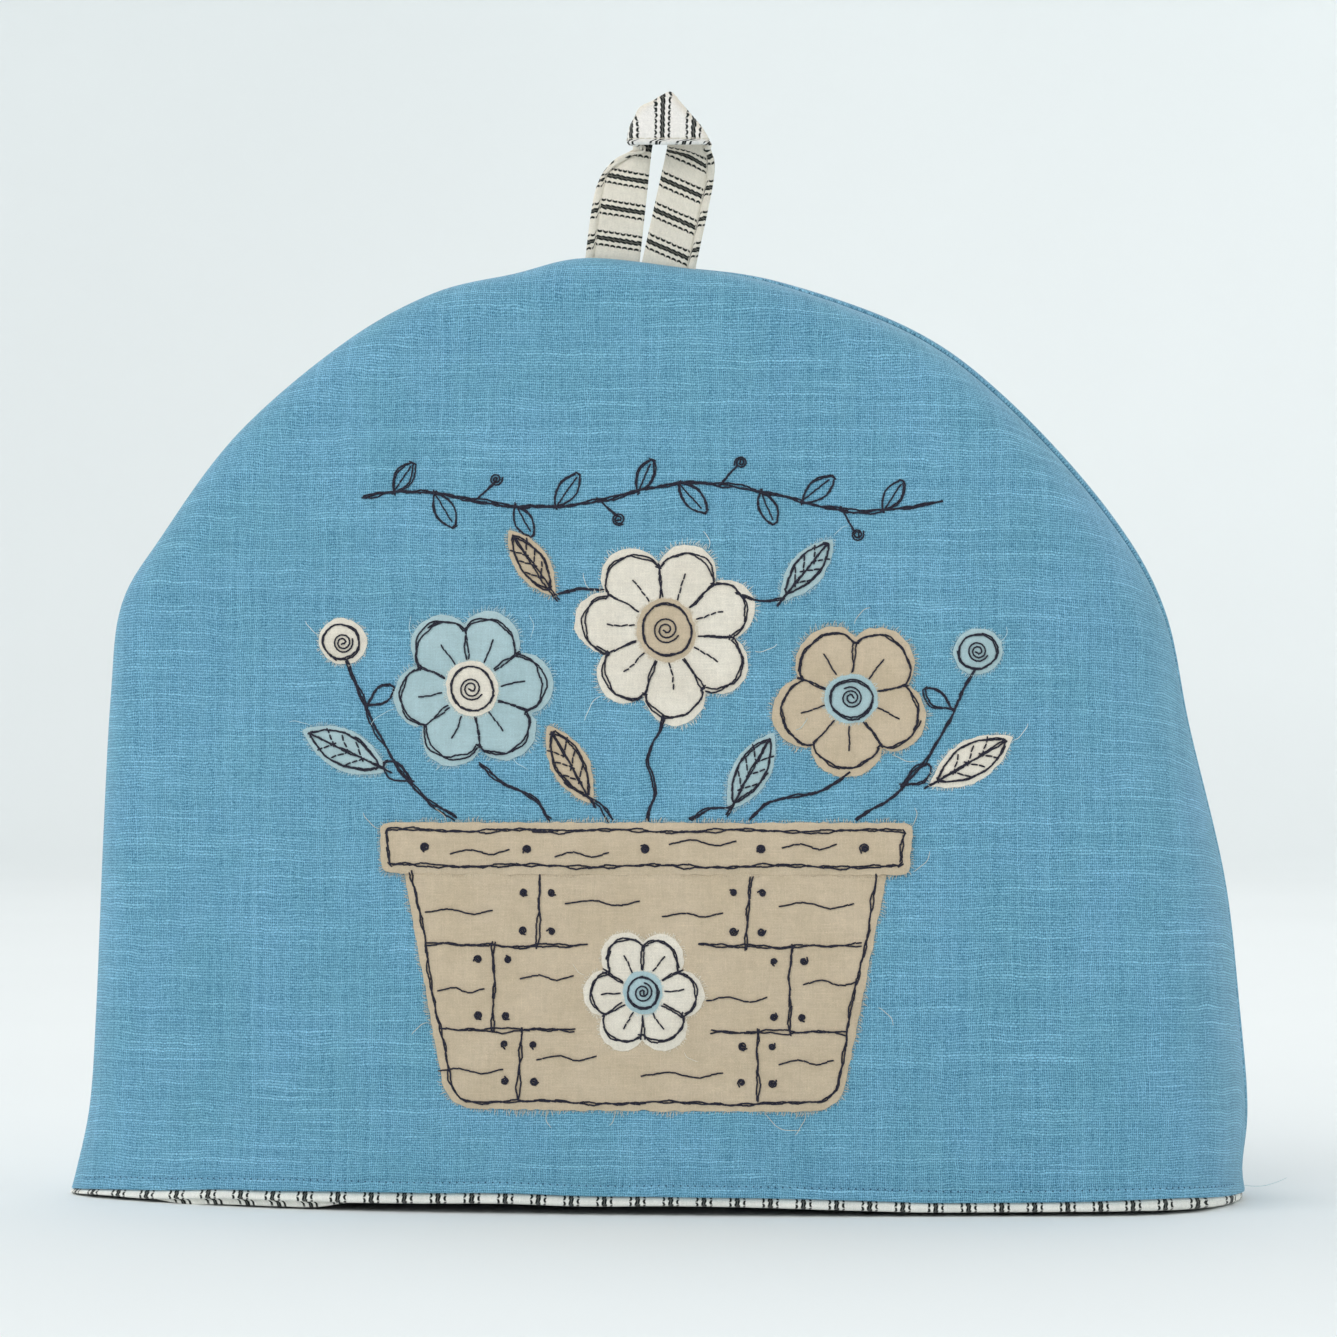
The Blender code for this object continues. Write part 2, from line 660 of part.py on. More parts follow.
def build_patches():
    """All the cloth patches of the front."""
    build_patch("planter", "beige", tub_outline(PLANTER, PLANTER_CORNER), 0)
    build_patch("planter_band", "beige", tub_outline(PLANTER_BAND, BAND_CORNER), 1)
    for name, x, z, radius, petals, turn, layer, cloth in FLOWERS:
        build_patch(name, cloth, flower_outline(x, z, radius, petals, turn), layer)
    for name, x, z, radius, layer, cloth in DISCS:
        build_patch(name, cloth, disc_outline(x, z, radius), layer)
    for name, x, z, half_length, half_width, turn, layer, cloth in LEAVES:
        build_patch(name, cloth, leaf_outline(x, z, half_length, half_width, turn), layer)


def main():
    """Clear the scene and build the cosy."""
    for old in list(bpy.data.objects):
        bpy.data.objects.remove(old, do_unlink=True)
    build_panel("front_panel", FRONT)
    build_panel("back_panel", BACK)
    build_facing()
    build_loop()
    build_patches()


main()
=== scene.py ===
"""Tea cosy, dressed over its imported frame: slub linen panels, ticking hem and loop, sewn patches.

The cosy stands on its hem. +X runs to the right of the decorated front, +Y to the back and +Z up.
Shapes are worked out in millimetres, and MM turns them into metres when a mesh is made. A panel's
points start as flat points x, z in the seam plane, and a side's surface gives their place in space.
"""

import logging
import math
from dataclasses import dataclass, field
from enum import Enum
from functools import cache

import bmesh
import bpy
import numpy as np
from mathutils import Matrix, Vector
from mathutils.geometry import delaunay_2d_cdt


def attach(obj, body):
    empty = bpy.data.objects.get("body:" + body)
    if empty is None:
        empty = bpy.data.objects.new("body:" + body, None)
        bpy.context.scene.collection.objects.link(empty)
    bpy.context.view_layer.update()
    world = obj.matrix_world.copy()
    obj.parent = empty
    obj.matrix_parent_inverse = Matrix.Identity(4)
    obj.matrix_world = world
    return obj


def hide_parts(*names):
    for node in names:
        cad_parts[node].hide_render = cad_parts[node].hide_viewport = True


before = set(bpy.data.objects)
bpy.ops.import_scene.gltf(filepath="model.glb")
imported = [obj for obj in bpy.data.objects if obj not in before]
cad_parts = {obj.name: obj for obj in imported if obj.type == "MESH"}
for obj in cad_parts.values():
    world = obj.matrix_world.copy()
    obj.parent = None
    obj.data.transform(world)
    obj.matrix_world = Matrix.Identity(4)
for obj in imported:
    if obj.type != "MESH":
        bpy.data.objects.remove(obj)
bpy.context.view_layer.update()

LOG = logging.getLogger("tea_cosy")
MM = 0.001
BODY = "root"
STITCH_HEIGHT = 3.3  # of the hem stitching above the linen's edge
LAYER_RISE = 0.62  # of each further layer of patches

Table = tuple[tuple[float, float], ...]
Array = np.ndarray
Triangles = np.ndarray
Socket = bpy.types.NodeSocket
Node = bpy.types.Node
Tree = bpy.types.NodeTree
Material = bpy.types.Material
Piece = bpy.types.Object


# Curves, tables and flat outlines


def run_length(points: Array) -> Array:
    """Distance along a line at each of its points."""
    steps = np.linalg.norm(np.diff(points, axis=0), axis=1)
    return np.concatenate(([0.0], np.cumsum(steps)))


def sampled(points: Array, run: Array, at: Array) -> Array:
    """Flat points at given distances along a line."""
    return np.column_stack([np.interp(at, run, points[:, axis]) for axis in range(2)])


def smooth_curve(points: Table | Array, count: int, fine_steps: int = 24) -> Array:
    """Draw a smooth curve through points.

    Args:
        points: The flat points that the curve passes through.
        count: How many evenly spaced points to return.
        fine_steps: Steps between two of the given points.

    Returns:
        Evenly spaced points on a Catmull-Rom curve, one row each.
    """
    knots = np.asarray(points, float)
    padded = np.vstack((2 * knots[0] - knots[1], knots, 2 * knots[-1] - knots[-2]))
    t = np.linspace(0.0, 1.0, fine_steps, endpoint=False)[:, None]
    spans = []
    for index in range(len(knots) - 1):
        a, b, c, d = padded[index : index + 4]
        cubic = (3 * b - a - 3 * c + d) * t**3
        square = (2 * a - 5 * b + 4 * c - d) * t**2
        spans.append(0.5 * (2 * b + (c - a) * t + square + cubic))
    fine = np.vstack((*spans, knots[-1:]))
    run = run_length(fine)
    return sampled(fine, run, np.linspace(0.0, run[-1], count))


def table_value(table: Table, share: Array) -> Array:
    """Read a two-column table at each share, eased between its rows."""
    curve = smooth_curve(table, 200)
    return np.interp(share, curve[:, 0], curve[:, 1])


def ease(value: Array | float) -> Array:
    """Step smoothly from 0 to 1."""
    clipped = np.clip(value, 0.0, 1.0)
    return clipped * clipped * (3.0 - 2.0 * clipped)


def unit(vectors: Array) -> Array:
    """Scale each row to a length of one."""
    return vectors / np.maximum(np.linalg.norm(vectors, axis=1), 1e-12)[:, None]


def heading(angle: float) -> Array:
    """Flat direction at an angle in radians."""
    return np.array((math.cos(angle), math.sin(angle)))


def sideways(way: Array) -> Array:
    """Flat direction a quarter turn to the left of another."""
    return np.array((-way[1], way[0]))


def rounded_corners(corners: Table, radius: float, steps: int = 8) -> Array:
    """Round the corners of a shape.

    Args:
        corners: The shape's corners.
        radius: How far from its corner each arc starts.
        steps: Steps along each arc.

    Returns:
        The outline's points.
    """
    outline = []
    for index, corner in enumerate(corners):
        before = np.subtract(corners[index - 1], corner)
        after = np.subtract(corners[(index + 1) % len(corners)], corner)
        start = np.array(corner) + before / np.linalg.norm(before) * radius
        end = np.array(corner) + after / np.linalg.norm(after) * radius
        for t in np.linspace(0.0, 1.0, steps + 1):
            outline.append((1 - t) ** 2 * start + 2 * t * (1 - t) * np.array(corner) + t**2 * end)
    return np.array(outline)


def evened(outline: Array, spacing: float) -> Array:
    """Space a closed outline's points evenly.

    Args:
        outline: The closed outline, its last point not repeated.
        spacing: The wanted distance between neighbouring points.

    Returns:
        The outline with evenly spaced points.
    """
    closed = np.vstack((outline, outline[:1]))
    run = run_length(closed)
    count = max(8, round(float(run[-1]) / spacing))
    return sampled(closed, run, np.linspace(0.0, run[-1], count, endpoint=False))


def outline_normals(outline: Array) -> Array:
    """Outward flat normals of a closed outline that runs anticlockwise."""
    ahead = np.roll(outline, -1, axis=0) - np.roll(outline, 1, axis=0)
    return unit(np.column_stack((ahead[:, 1], -ahead[:, 0])))


def outline_area(outline: Array) -> float:
    """Area inside a closed outline, positive where it runs anticlockwise."""
    ahead = np.roll(outline, -1, axis=0)
    return float((outline[:, 0] * ahead[:, 1] - ahead[:, 0] * outline[:, 1]).sum() / 2.0)


def inside_outline(points: Array, outline: Array) -> Array:
    """Tell which points lie inside a closed outline."""
    inside = np.zeros(len(points), bool)
    for start, end in zip(outline, np.roll(outline, -1, axis=0)):
        crosses = (start[1] > points[:, 1]) != (end[1] > points[:, 1])
        rise = end[1] - start[1] if end[1] != start[1] else 1.0
        at = start[0] + (end[0] - start[0]) * (points[:, 1] - start[1]) / rise
        inside ^= crosses & (points[:, 0] < at)
    return inside


def outline_distance(points: Array, outline: Array) -> Array:
    """Distance from each point to the nearest edge of a closed outline."""
    run = np.roll(outline, -1, axis=0) - outline
    nearest = np.full(len(points), 1e9)
    for start, step in zip(outline, run):
        offset = points - start
        along = np.clip(offset @ step / max(float(step @ step), 1e-9), 0.0, 1.0)
        nearest = np.minimum(nearest, np.linalg.norm(offset - np.outer(along, step), axis=1))
    return nearest


# Meshes


def triangulate(points: Array, chains: list[list[int]]) -> tuple[Array, Triangles]:
    """Fill a flat outline with triangles.

    Args:
        points: The outline's points and the points inside it.
        chains: Runs of point numbers that stay edges; the first is the closed outline.

    Returns:
        The flat points and their triangles.
    """
    edges = []
    for index, chain in enumerate(chains):
        closing = 1 if index == 0 else 0
        edges.extend(zip(chain, chain[1:] + chain[:closing]))
    result = delaunay_2d_cdt([tuple(point) for point in points], edges, [], 1, 1e-6)
    flat = np.array([tuple(vertex) for vertex in result[0]])
    return flat, np.array([tuple(face) for face in result[2]], int)


def surface_normals(points: Array, triangles: Triangles) -> Array:
    """Area-weighted normals of a triangulated surface."""
    corner = points[triangles]
    face = np.cross(corner[:, 1] - corner[:, 0], corner[:, 2] - corner[:, 0])
    normals = np.zeros_like(points)
    for column in range(3):
        np.add.at(normals, triangles[:, column], face)
    return unit(normals)


def border_edges(triangles: Triangles) -> Array:
    """Edges that one triangle alone uses, in that triangle's direction."""
    pairs = np.vstack((triangles[:, (0, 1)], triangles[:, (1, 2)], triangles[:, (2, 0)]))
    seen = {(int(a), int(b)) for a, b in pairs}
    return np.array([pair for pair in sorted(seen) if (pair[1], pair[0]) not in seen], int)


def linked(name: str, data: bpy.types.ID) -> Piece:
    """Put new data into the scene as an object."""
    item = bpy.data.objects.new(name, data)
    bpy.context.scene.collection.objects.link(item)
    return item


def store(data: bpy.types.Mesh, label: str, values: Array) -> None:
    """Write a number or a vector at each of a mesh's points."""
    kind, key = ("FLOAT_VECTOR", "vector") if values.ndim == 2 else ("FLOAT", "value")
    layer = data.attributes.new(label, kind, "POINT")
    layer.data.foreach_set(key, values.astype(np.float32).ravel())


def make_piece(
    name: str,
    points: Array,
    faces: list[tuple[int, ...]] | Array,
    material: Material,
    pattern: Array | None = None,
    crease_degrees: float = 60.0,
) -> Piece:
    """Make a mesh object from points in millimetres.

    Args:
        name: The piece's name.
        points: Its vertices, in millimetres.
        faces: Its faces.
        material: Its finish.
        pattern: Where each vertex lies on the flat cloth, in millimetres; None for no UV map.
        crease_degrees: Edges that turn by more than this stay sharp.

    Returns:
        The object, linked to the scene at the origin.
    """
    data = bpy.data.meshes.new(name)
    data.from_pydata((np.asarray(points, float) * MM).tolist(), [], [list(f) for f in faces])
    if pattern is not None:
        layer = data.uv_layers.new(name="cloth")
        loops = np.empty(len(data.loops), np.int32)
        data.loops.foreach_get("vertex_index", loops)
        layer.uv.foreach_set("vector", (pattern[loops] * MM).astype(np.float32).ravel())
    data.materials.append(material)
    data.shade_smooth()
    data.set_sharp_from_angle(angle=math.radians(crease_degrees))
    data.validate()
    return linked(name, data)


def cloth_faces(count: int, triangles: Triangles) -> list[tuple[int, ...]]:
    """Faces of a closed cloth whose outer vertices come first and inner vertices next."""
    faces = [tuple(triangle) for triangle in triangles.tolist()]
    faces += [tuple(count + index for index in reversed(face)) for face in triangles.tolist()]
    for a, b in border_edges(triangles).tolist():
        faces.append((b, a, count + a, count + b))
    return faces


def stand_for(piece: Piece, node: str) -> None:
    """Put a piece on the body in its solid's place."""
    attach(piece, BODY)
    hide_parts(node)


def log_piece(piece: Piece, note: str) -> None:
    """Report a finished piece and how many faces it has."""
    LOG.info("%s: %d faces, %s", piece.name, len(piece.data.polygons), note)


# Node trees


class Wiring:
    """Short calls for laying out one node tree."""

    def __init__(self, tree: Tree) -> None:
        """Work on a tree."""
        self.tree = tree

    def add(self, kind: str, **settings: object) -> Node:
        """Add a node.

        Args:
            kind: Its type's name.
            **settings: Properties to set on it.

        Returns:
            The node.
        """
        node = self.tree.nodes.new(kind)
        for name, value in settings.items():
            setattr(node, name, value)
        return node

    def feed(self, socket: Socket, value: object) -> None:
        """Link a socket to an input, or set the input's own value."""
        if isinstance(value, Socket):
            self.tree.links.new(value, socket)
        else:
            socket.default_value = value

    def fill(self, node: Node, *values: object, **named: object) -> Node:
        """Feed a node's inputs, in order or by name.

        Args:
            node: The node.
            *values: What its first inputs are fed.
            **named: Input names, spaces as underscores, and what each is fed.

        Returns:
            The same node.
        """
        for socket, value in zip(node.inputs, values):
            self.feed(socket, value)
        for name, value in named.items():
            self.feed(node.inputs[name.replace("_", " ")], value)
        return node

    def math(self, operation: str, *values: object) -> Socket:
        """Do arithmetic on up to three values."""
        return self.fill(self.add("ShaderNodeMath", operation=operation), *values).outputs[0]

    def plus(self, first: object, second: object) -> Socket:
        """Add two values."""
        return self.math("ADD", first, second)

    def minus(self, first: object, second: object) -> Socket:
        """Take the second value from the first."""
        return self.math("SUBTRACT", first, second)

    def times(self, first: object, second: object) -> Socket:
        """Multiply two values."""
        return self.math("MULTIPLY", first, second)

    def over(self, first: object, second: object) -> Socket:
        """Divide the first value by the second."""
        return self.math("DIVIDE", first, second)

    def line(self, value: object, slope: object, base: object) -> Socket:
        """Multiply a value by a slope and add a base."""
        return self.math("MULTIPLY_ADD", value, slope, base)

    def vector(self, operation: str, *values: object) -> Socket:
        """Do arithmetic on vectors."""
        return self.fill(self.add("ShaderNodeVectorMath", operation=operation), *values).outputs[0]

    def scaled(self, vector: Socket, factor: object) -> Socket:
        """Scale a vector or a colour."""
        node = self.add("ShaderNodeVectorMath", operation="SCALE")
        return self.fill(node, vector, Scale=factor).outputs[0]

    def joined(self, x: object, y: object = 0.0, z: object = 0.0) -> Socket:
        """Vector from its parts."""
        return self.fill(self.add("ShaderNodeCombineXYZ"), x, y, z).outputs[0]

    def ramp(self, value: object, low: object, high: object) -> Socket:
        """Rise smoothly from 0 to 1 as a value goes from low to high."""
        node = self.add("ShaderNodeMapRange", interpolation_type="SMOOTHSTEP")
        return self.fill(node, value, low, high, 0.0, 1.0).outputs[0]

    def noise(self, vector: Socket, detail: float = 2.0) -> Socket:
        """Soft noise from 0 to 1 with one feature to a unit."""
        node = self.add("ShaderNodeTexNoise", noise_dimensions="3D")
        return self.fill(node, Vector=vector, Scale=1.0, Detail=detail, Roughness=0.55).outputs[0]

    def scatter(self, vector: Socket) -> Socket:
        """Random number from 0 to 1 for each different vector."""
        node = self.add("ShaderNodeTexWhiteNoise", noise_dimensions="3D")
        return self.fill(node, Vector=vector).outputs["Value"]

    def mixed(self, share: object, first: object, second: object) -> Socket:
        """Blend two colours."""
        node = self.add("ShaderNodeMix", data_type="RGBA")
        for name, value in (("Factor_Float", share), ("A_Color", first), ("B_Color", second)):
            self.feed(next(item for item in node.inputs if item.identifier == name), value)
        return next(item for item in node.outputs if item.identifier == "Result_Color")

    def bump(self, strength: float, distance: float, height: Socket) -> Socket:
        """Normal of a relief."""
        node = self.add("ShaderNodeBump")
        return self.fill(node, Strength=strength, Distance=distance, Height=height).outputs[0]

    def group(self, tree: Tree, **values: object) -> dict[str, Socket]:
        """Place a node group with its own values and return its outputs by name."""
        node = self.fill(self.add("ShaderNodeGroup", node_tree=tree), **values)
        return {socket.name: socket for socket in node.outputs}


def new_group(
    name: str, inputs: dict[str, float | tuple[float, ...]], outputs: tuple[str, ...]
) -> tuple[Tree, Wiring, dict[str, Socket], Node]:
    """Start a shader node group.

    Args:
        name: The group's name.
        inputs: Each input's name and default, a number or a vector.
        outputs: Names of its number outputs.

    Returns:
        The tree, its wiring, its inputs by name and its output node.
    """
    tree = bpy.data.node_groups.new(name, "ShaderNodeTree")
    for label, default in inputs.items():
        kind = "NodeSocketVector" if isinstance(default, tuple) else "NodeSocketFloat"
        socket = tree.interface.new_socket(name=label, in_out="INPUT", socket_type=kind)
        socket.default_value = default
    for label in outputs:
        tree.interface.new_socket(name=label, in_out="OUTPUT", socket_type="NodeSocketFloat")
    net = Wiring(tree)
    start = net.add("NodeGroupInput")
    return tree, net, {label: start.outputs[label] for label in inputs}, net.add("NodeGroupOutput")


@cache
def weave_group() -> Tree:
    """Plain weave on cloth coordinates, with thick slubs in some threads and gaps between them.

    Returns:
        A group that puts out each point's tone, slub, gap and height, all about 0 to 1.
    """
    inputs = {
        "Cloth": (0.0, 0.0, 0.0), "Warp Pitch": 0.61, "Weft Pitch": 0.8, "Slub Length": 14.0,
        "Slub Start": 0.6, "Drift": 0.8, "Grain": 0.5, "Steady": 0.0, "Seed": 0.0,
    }
    tree, net, given, end = new_group("plain_weave", inputs, ("Tone", "Slub", "Gap", "Height"))
    seed = given["Seed"]
    flat = net.scaled(given["Cloth"], 1000.0)
    seeded = net.vector("ADD", flat, net.joined(0.0, 0.0, seed))
    sway = net.add("ShaderNodeTexNoise", noise_dimensions="3D")
    net.fill(sway, Vector=seeded, Scale=0.05, Detail=4.0, Roughness=0.62)
    shift = net.vector("SUBTRACT", sway.outputs["Color"], (0.5, 0.5, 0.5))
    pulled = net.vector("ADD", flat, net.scaled(shift, net.times(given["Drift"], 5.0)))
    x, y, _ = net.fill(net.add("ShaderNodeSeparateXYZ"), pulled).outputs
    a, b = net.over(x, given["Warp Pitch"]), net.over(y, given["Weft Pitch"])
    column, row = net.math("FLOOR", a), net.math("FLOOR", b)
    tones, slubs, rounds = [], [], []
    for along, number, place, salt in ((y, column, a, 7.31), (x, row, b, 5.77)):
        lot = net.joined(net.times(number, salt), net.over(along, given["Slub Length"]), salt)
        thread = net.noise(net.vector("ADD", lot, net.joined(0.0, seed)))
        start = net.line(salt, -0.013, net.plus(given["Slub Start"], 0.09))
        own = net.minus(net.scatter(net.joined(number, salt, seed)), 0.5)
        tones.append(net.line(own, net.times(given["Steady"], salt / 7.31), thread))
        slubs.append(net.ramp(thread, start, net.plus(start, 0.10)))
        off = net.math("ABSOLUTE", net.minus(net.math("FRACT", place), 0.5))
        rounds.append(net.minus(1.0, net.ramp(off, 0.10, 0.50)))
    warp_wave = net.math("SINE", net.times(net.plus(b, column), math.pi))
    weft_wave = net.math("SINE", net.times(net.plus(a, row), math.pi))
    warp_height = net.times(rounds[0], net.line(warp_wave, 0.34, 0.56))
    weft_over = net.line(slubs[1], 0.3, net.line(weft_wave, -0.34, 0.66))
    weft_height = net.times(rounds[1], weft_over)
    height = net.math("MAXIMUM", warp_height, weft_height)
    on_weft = net.ramp(net.minus(weft_height, warp_height), -0.08, 0.08)
    tone = net.add("ShaderNodeMix", data_type="FLOAT")
    for at, value in zip((0, 2, 3), (on_weft, *tones)):
        net.feed(tone.inputs[at], value)
    cell = net.scatter(net.joined(column, row, seed))
    specks = [net.math("FLOOR", net.times(place, 2.6)) for place in (a, b)]
    fibre = net.scatter(net.joined(*specks, 3.0))
    grain = net.times(net.minus(fibre, 0.5), given["Grain"])
    open_cell = net.line(net.math("POWER", cell, 2.0), 1.0, 0.15)
    gap = net.times(net.minus(1.0, net.ramp(height, 0.05, 0.5)), open_cell)
    weft_slub = net.times(net.times(slubs[1], rounds[1]), net.line(on_weft, 0.6, 0.4))
    warp_slub = net.times(net.times(slubs[0], rounds[0]), 0.7)
    slub = net.math("MAXIMUM", weft_slub, warp_slub)
    net.fill(end, Tone=net.plus(tone.outputs[0], grain), Slub=slub, Gap=gap, Height=height)
    return tree


@cache
def ticking_group() -> Tree:
    """Ticking's dark lines on cloth coordinates: a thin, a thick and a thin line to each repeat.

    Returns:
        A group that puts out how dark each point is.
    """
    inputs = {
        "Cloth": (0.0, 0.0, 0.0), "Repeat": 9.75, "Shift": 0.0, "Thin Line At": 2.0, "Dash": 1.8,
    }
    tree, net, given, end = new_group("ticking_lines", inputs, ("Dark",))
    flat = net.scaled(given["Cloth"], 1000.0)
    x, y, _ = net.fill(net.add("ShaderNodeSeparateXYZ"), flat).outputs
    wobble = net.noise(net.vector("MULTIPLY", flat, (0.35, 0.8, 0.0)))
    moved = net.line(net.minus(wobble, 0.5), 0.55, x)
    turns = net.over(net.plus(moved, given["Shift"]), given["Repeat"])
    across = net.times(net.minus(net.math("FRACT", turns), 0.5), given["Repeat"])
    away = net.math("ABSOLUTE", across)
    lag = net.line(net.math("SIGN", across), 0.25, net.over(y, given["Dash"]))
    slanted = net.line(across, 0.9, lag)
    twist = net.math("ABSOLUTE", net.math("SINE", net.times(slanted, math.pi)))
    thick_line = net.minus(1.0, net.ramp(net.line(twist, -0.24, away), 0.44, 0.64))
    dash = net.times(net.ramp(twist, 0.0, 0.25), net.ramp(away, 0.0, 0.10))
    thick = net.math("MAXIMUM", net.times(thick_line, dash), net.times(thick_line, 0.82))
    thin_beat = net.times(net.plus(lag, 0.33), math.pi)
    sway = net.times(net.math("COSINE", net.times(thin_beat, 2.0)), 0.13)
    thin_away = net.math("ABSOLUTE", net.minus(away, net.plus(given["Thin Line At"], sway)))
    thin_line = net.minus(1.0, net.ramp(thin_away, 0.24, 0.42))
    thin_wave = net.ramp(net.math("ABSOLUTE", net.math("SINE", thin_beat)), 0.05, 0.5)
    thin = net.times(thin_line, net.math("MAXIMUM", thin_wave, 0.35))
    net.fill(end, Dark=net.math("MAXIMUM", thick, thin))
    return tree


@cache
def soft_tone_group() -> Tree:
    """Slow drift of tone over a cloth, as uneven dye and handling leave it.

    Returns:
        A group that puts out a broad tone and a finer mottle, each 0 to 1.
    """
    inputs = {"Place": (0.0, 0.0, 0.0), "Broad": 28.0, "Fine": 5.0, "Seed": 0.0}
    tree, net, given, end = new_group("soft_tone", inputs, ("Tone", "Mottle"))
    flat = net.scaled(given["Place"], 1000.0)
    seeded = net.vector("ADD", flat, net.joined(*[given["Seed"]] * 3))
    broad = net.scaled(seeded, net.over(1.0, given["Broad"]))
    fine = net.scaled(seeded, net.over(1.0, given["Fine"]))
    tone = net.ramp(net.noise(broad), 0.28, 0.72)
    net.fill(end, Tone=tone, Mottle=net.ramp(net.noise(fine, 3.0), 0.25, 0.75))
    return tree


# Finishes

Colour = tuple[float, float, float]


def linear(colour: Colour, shade: float = 1.0) -> tuple[float, float, float, float]:
    """Turn an sRGB colour of 0 to 1, darkened by a shade, into the linear one of a shader."""
    values = [value * shade for value in colour]
    parts = [((v + 0.055) / 1.055) ** 2.4 if v > 0.04045 else v / 12.92 for v in values]
    return (*parts, 1.0)


def start_material(name: str) -> tuple[Material, Wiring, Node]:
    """Make a material with its nodes ready and return it, its wiring and its shader."""
    material = bpy.data.materials.new(name)
    material.use_nodes = True
    return material, Wiring(material.node_tree), material.node_tree.nodes["Principled BSDF"]


@dataclass(frozen=True)
class Linen:
    """Slub linen: plain weave of uneven threads, softly uneven in its dye, with painted shade in
    the low parts of the weave, in its gaps and along the seam.
    """

    name: str = "linen"
    # dim: darkest thread colour, reached by dark threads and by the painted shade where the weave
    # lies low
    dim: Colour = (0.10, 0.38, 0.499)
    cool: Colour = (0.579, 0.821, 0.917)
    warm: Colour = (0.589, 0.816, 0.932)
    # Colour of the painted shade in the weave's gaps and in the seam's valley
    painted_shade: Colour = (0.18, 0.37, 0.472)
    pale: Colour = (0.546, 0.745, 0.808)
    warp_pitch: float = 0.61
    weft_pitch: float = 0.80
    slub_length: float = 32.0
    slub_start: float = 0.55

    def material(self) -> Material:
        """Build the linen's material."""
        material, net, shader = start_material(self.name)
        weave = net.group(
            weave_group(), Cloth=net.add("ShaderNodeUVMap", uv_map="cloth").outputs[0],
            Warp_Pitch=self.warp_pitch, Weft_Pitch=self.weft_pitch, Slub_Length=self.slub_length,
            Slub_Start=self.slub_start, Drift=0.65, Grain=1.0, Steady=0.4,
        )
        place = net.add("ShaderNodeTexCoord").outputs["Object"]
        soft = net.group(soft_tone_group(), Place=place, Broad=24.0, Fine=4.0, Seed=3.0)
        # Thread brightness: the thread's own tone plus painted shade from the weave's height,
        # darker low down and lighter on the crowns
        lift = net.line(net.minus(weave["Tone"], 0.5), 0.55, 0.66)
        lift = net.line(weave["Height"], 0.66, lift)
        light = net.mixed(soft["Tone"], linear(self.cool), linear(self.warm))
        toned = net.mixed(net.line(lift, 0.769, -0.346), linear(self.dim), light)
        fade = net.times(net.line(soft["Tone"], 0.05, 0.975), net.line(soft["Mottle"], 0.03, 0.985))
        colour = net.scaled(toned, fade)
        colour = net.mixed(net.times(weave["Slub"], 0.12), colour, linear(self.pale))
        # Painted shade in the gaps between threads
        colour = net.mixed(net.math("MINIMUM", weave["Gap"], 1.0), colour, linear(self.painted_shade))
        # Painted shade along the seam, in the valley where the two panels meet
        seam = net.add("ShaderNodeAttribute", attribute_name="seam").outputs["Fac"]
        crease = net.times(net.ramp(seam, 0.1, 0.5), 0.75)
        relief = net.line(weave["Slub"], 0.4, weave["Height"])
        net.fill(
            shader, Base_Color=net.mixed(crease, colour, linear(self.painted_shade)),
            Normal=net.bump(0.35, 0.00016, relief), Roughness=net.line(weave["Gap"], 0.1, 0.84),
            Sheen_Weight=0.18, Sheen_Roughness=0.5, Specular_IOR_Level=0.25,
        )
        return material


@dataclass(frozen=True)
class Ticking:
    """Off-white cotton ticking with dark line groups woven in."""

    name: str
    repeat: float
    shift: float
    ground: Colour = (0.912, 0.884, 0.828)
    # Paler ground of the loop's flap: painted light, where the flap faces up to the lamps
    faded: Colour = (0.948, 0.936, 0.917)
    line: Colour = (0.03, 0.06, 0.055)
    pale_line: Colour = (0.06, 0.105, 0.095)
    # Colour of the painted shade in the gaps between threads
    gap_shade: Colour = (0.68, 0.65, 0.58)

    def material(self) -> Material:
        """Build the ticking's material."""
        material, net, shader = start_material(self.name)
        cloth = net.add("ShaderNodeUVMap", uv_map="cloth").outputs[0]
        lines = net.group(ticking_group(), Cloth=cloth, Repeat=self.repeat, Shift=self.shift)
        weave = net.group(
            weave_group(), Cloth=cloth, Warp_Pitch=0.36, Weft_Pitch=0.42, Slub_Length=6.0,
            Slub_Start=0.66, Drift=0.3, Seed=9.0,
        )
        soft = net.group(soft_tone_group(), Place=cloth, Broad=9.0, Fine=1.6, Seed=5.0)
        fade = net.times(net.line(weave["Tone"], 0.3, 0.85), net.line(soft["Mottle"], 0.07, 0.95))
        # Painted light: the loop's flap, marked by an attribute, turns paler as if lit from above
        faded = net.add("ShaderNodeAttribute", attribute_name="faded").outputs["Fac"]
        ground = net.mixed(soft["Tone"], linear(self.ground), linear(self.ground, 0.97))
        ground = net.scaled(net.mixed(faded, ground, linear(self.faded)), fade)
        # Painted shade in the gaps between threads
        gap_shaded = net.mixed(net.times(weave["Gap"], 0.3), ground, linear(self.gap_shade))
        dark = net.mixed(soft["Mottle"], linear(self.line), linear(self.pale_line))
        relief = net.line(lines["Dark"], 1.2, weave["Height"])
        net.fill(
            shader, Base_Color=net.mixed(lines["Dark"], gap_shaded, dark),
            Normal=net.bump(0.4, 0.00014, relief), Roughness=net.line(lines["Dark"], -0.08, 0.88),
            Sheen_Weight=0.12, Specular_IOR_Level=0.25,
        )
        return material


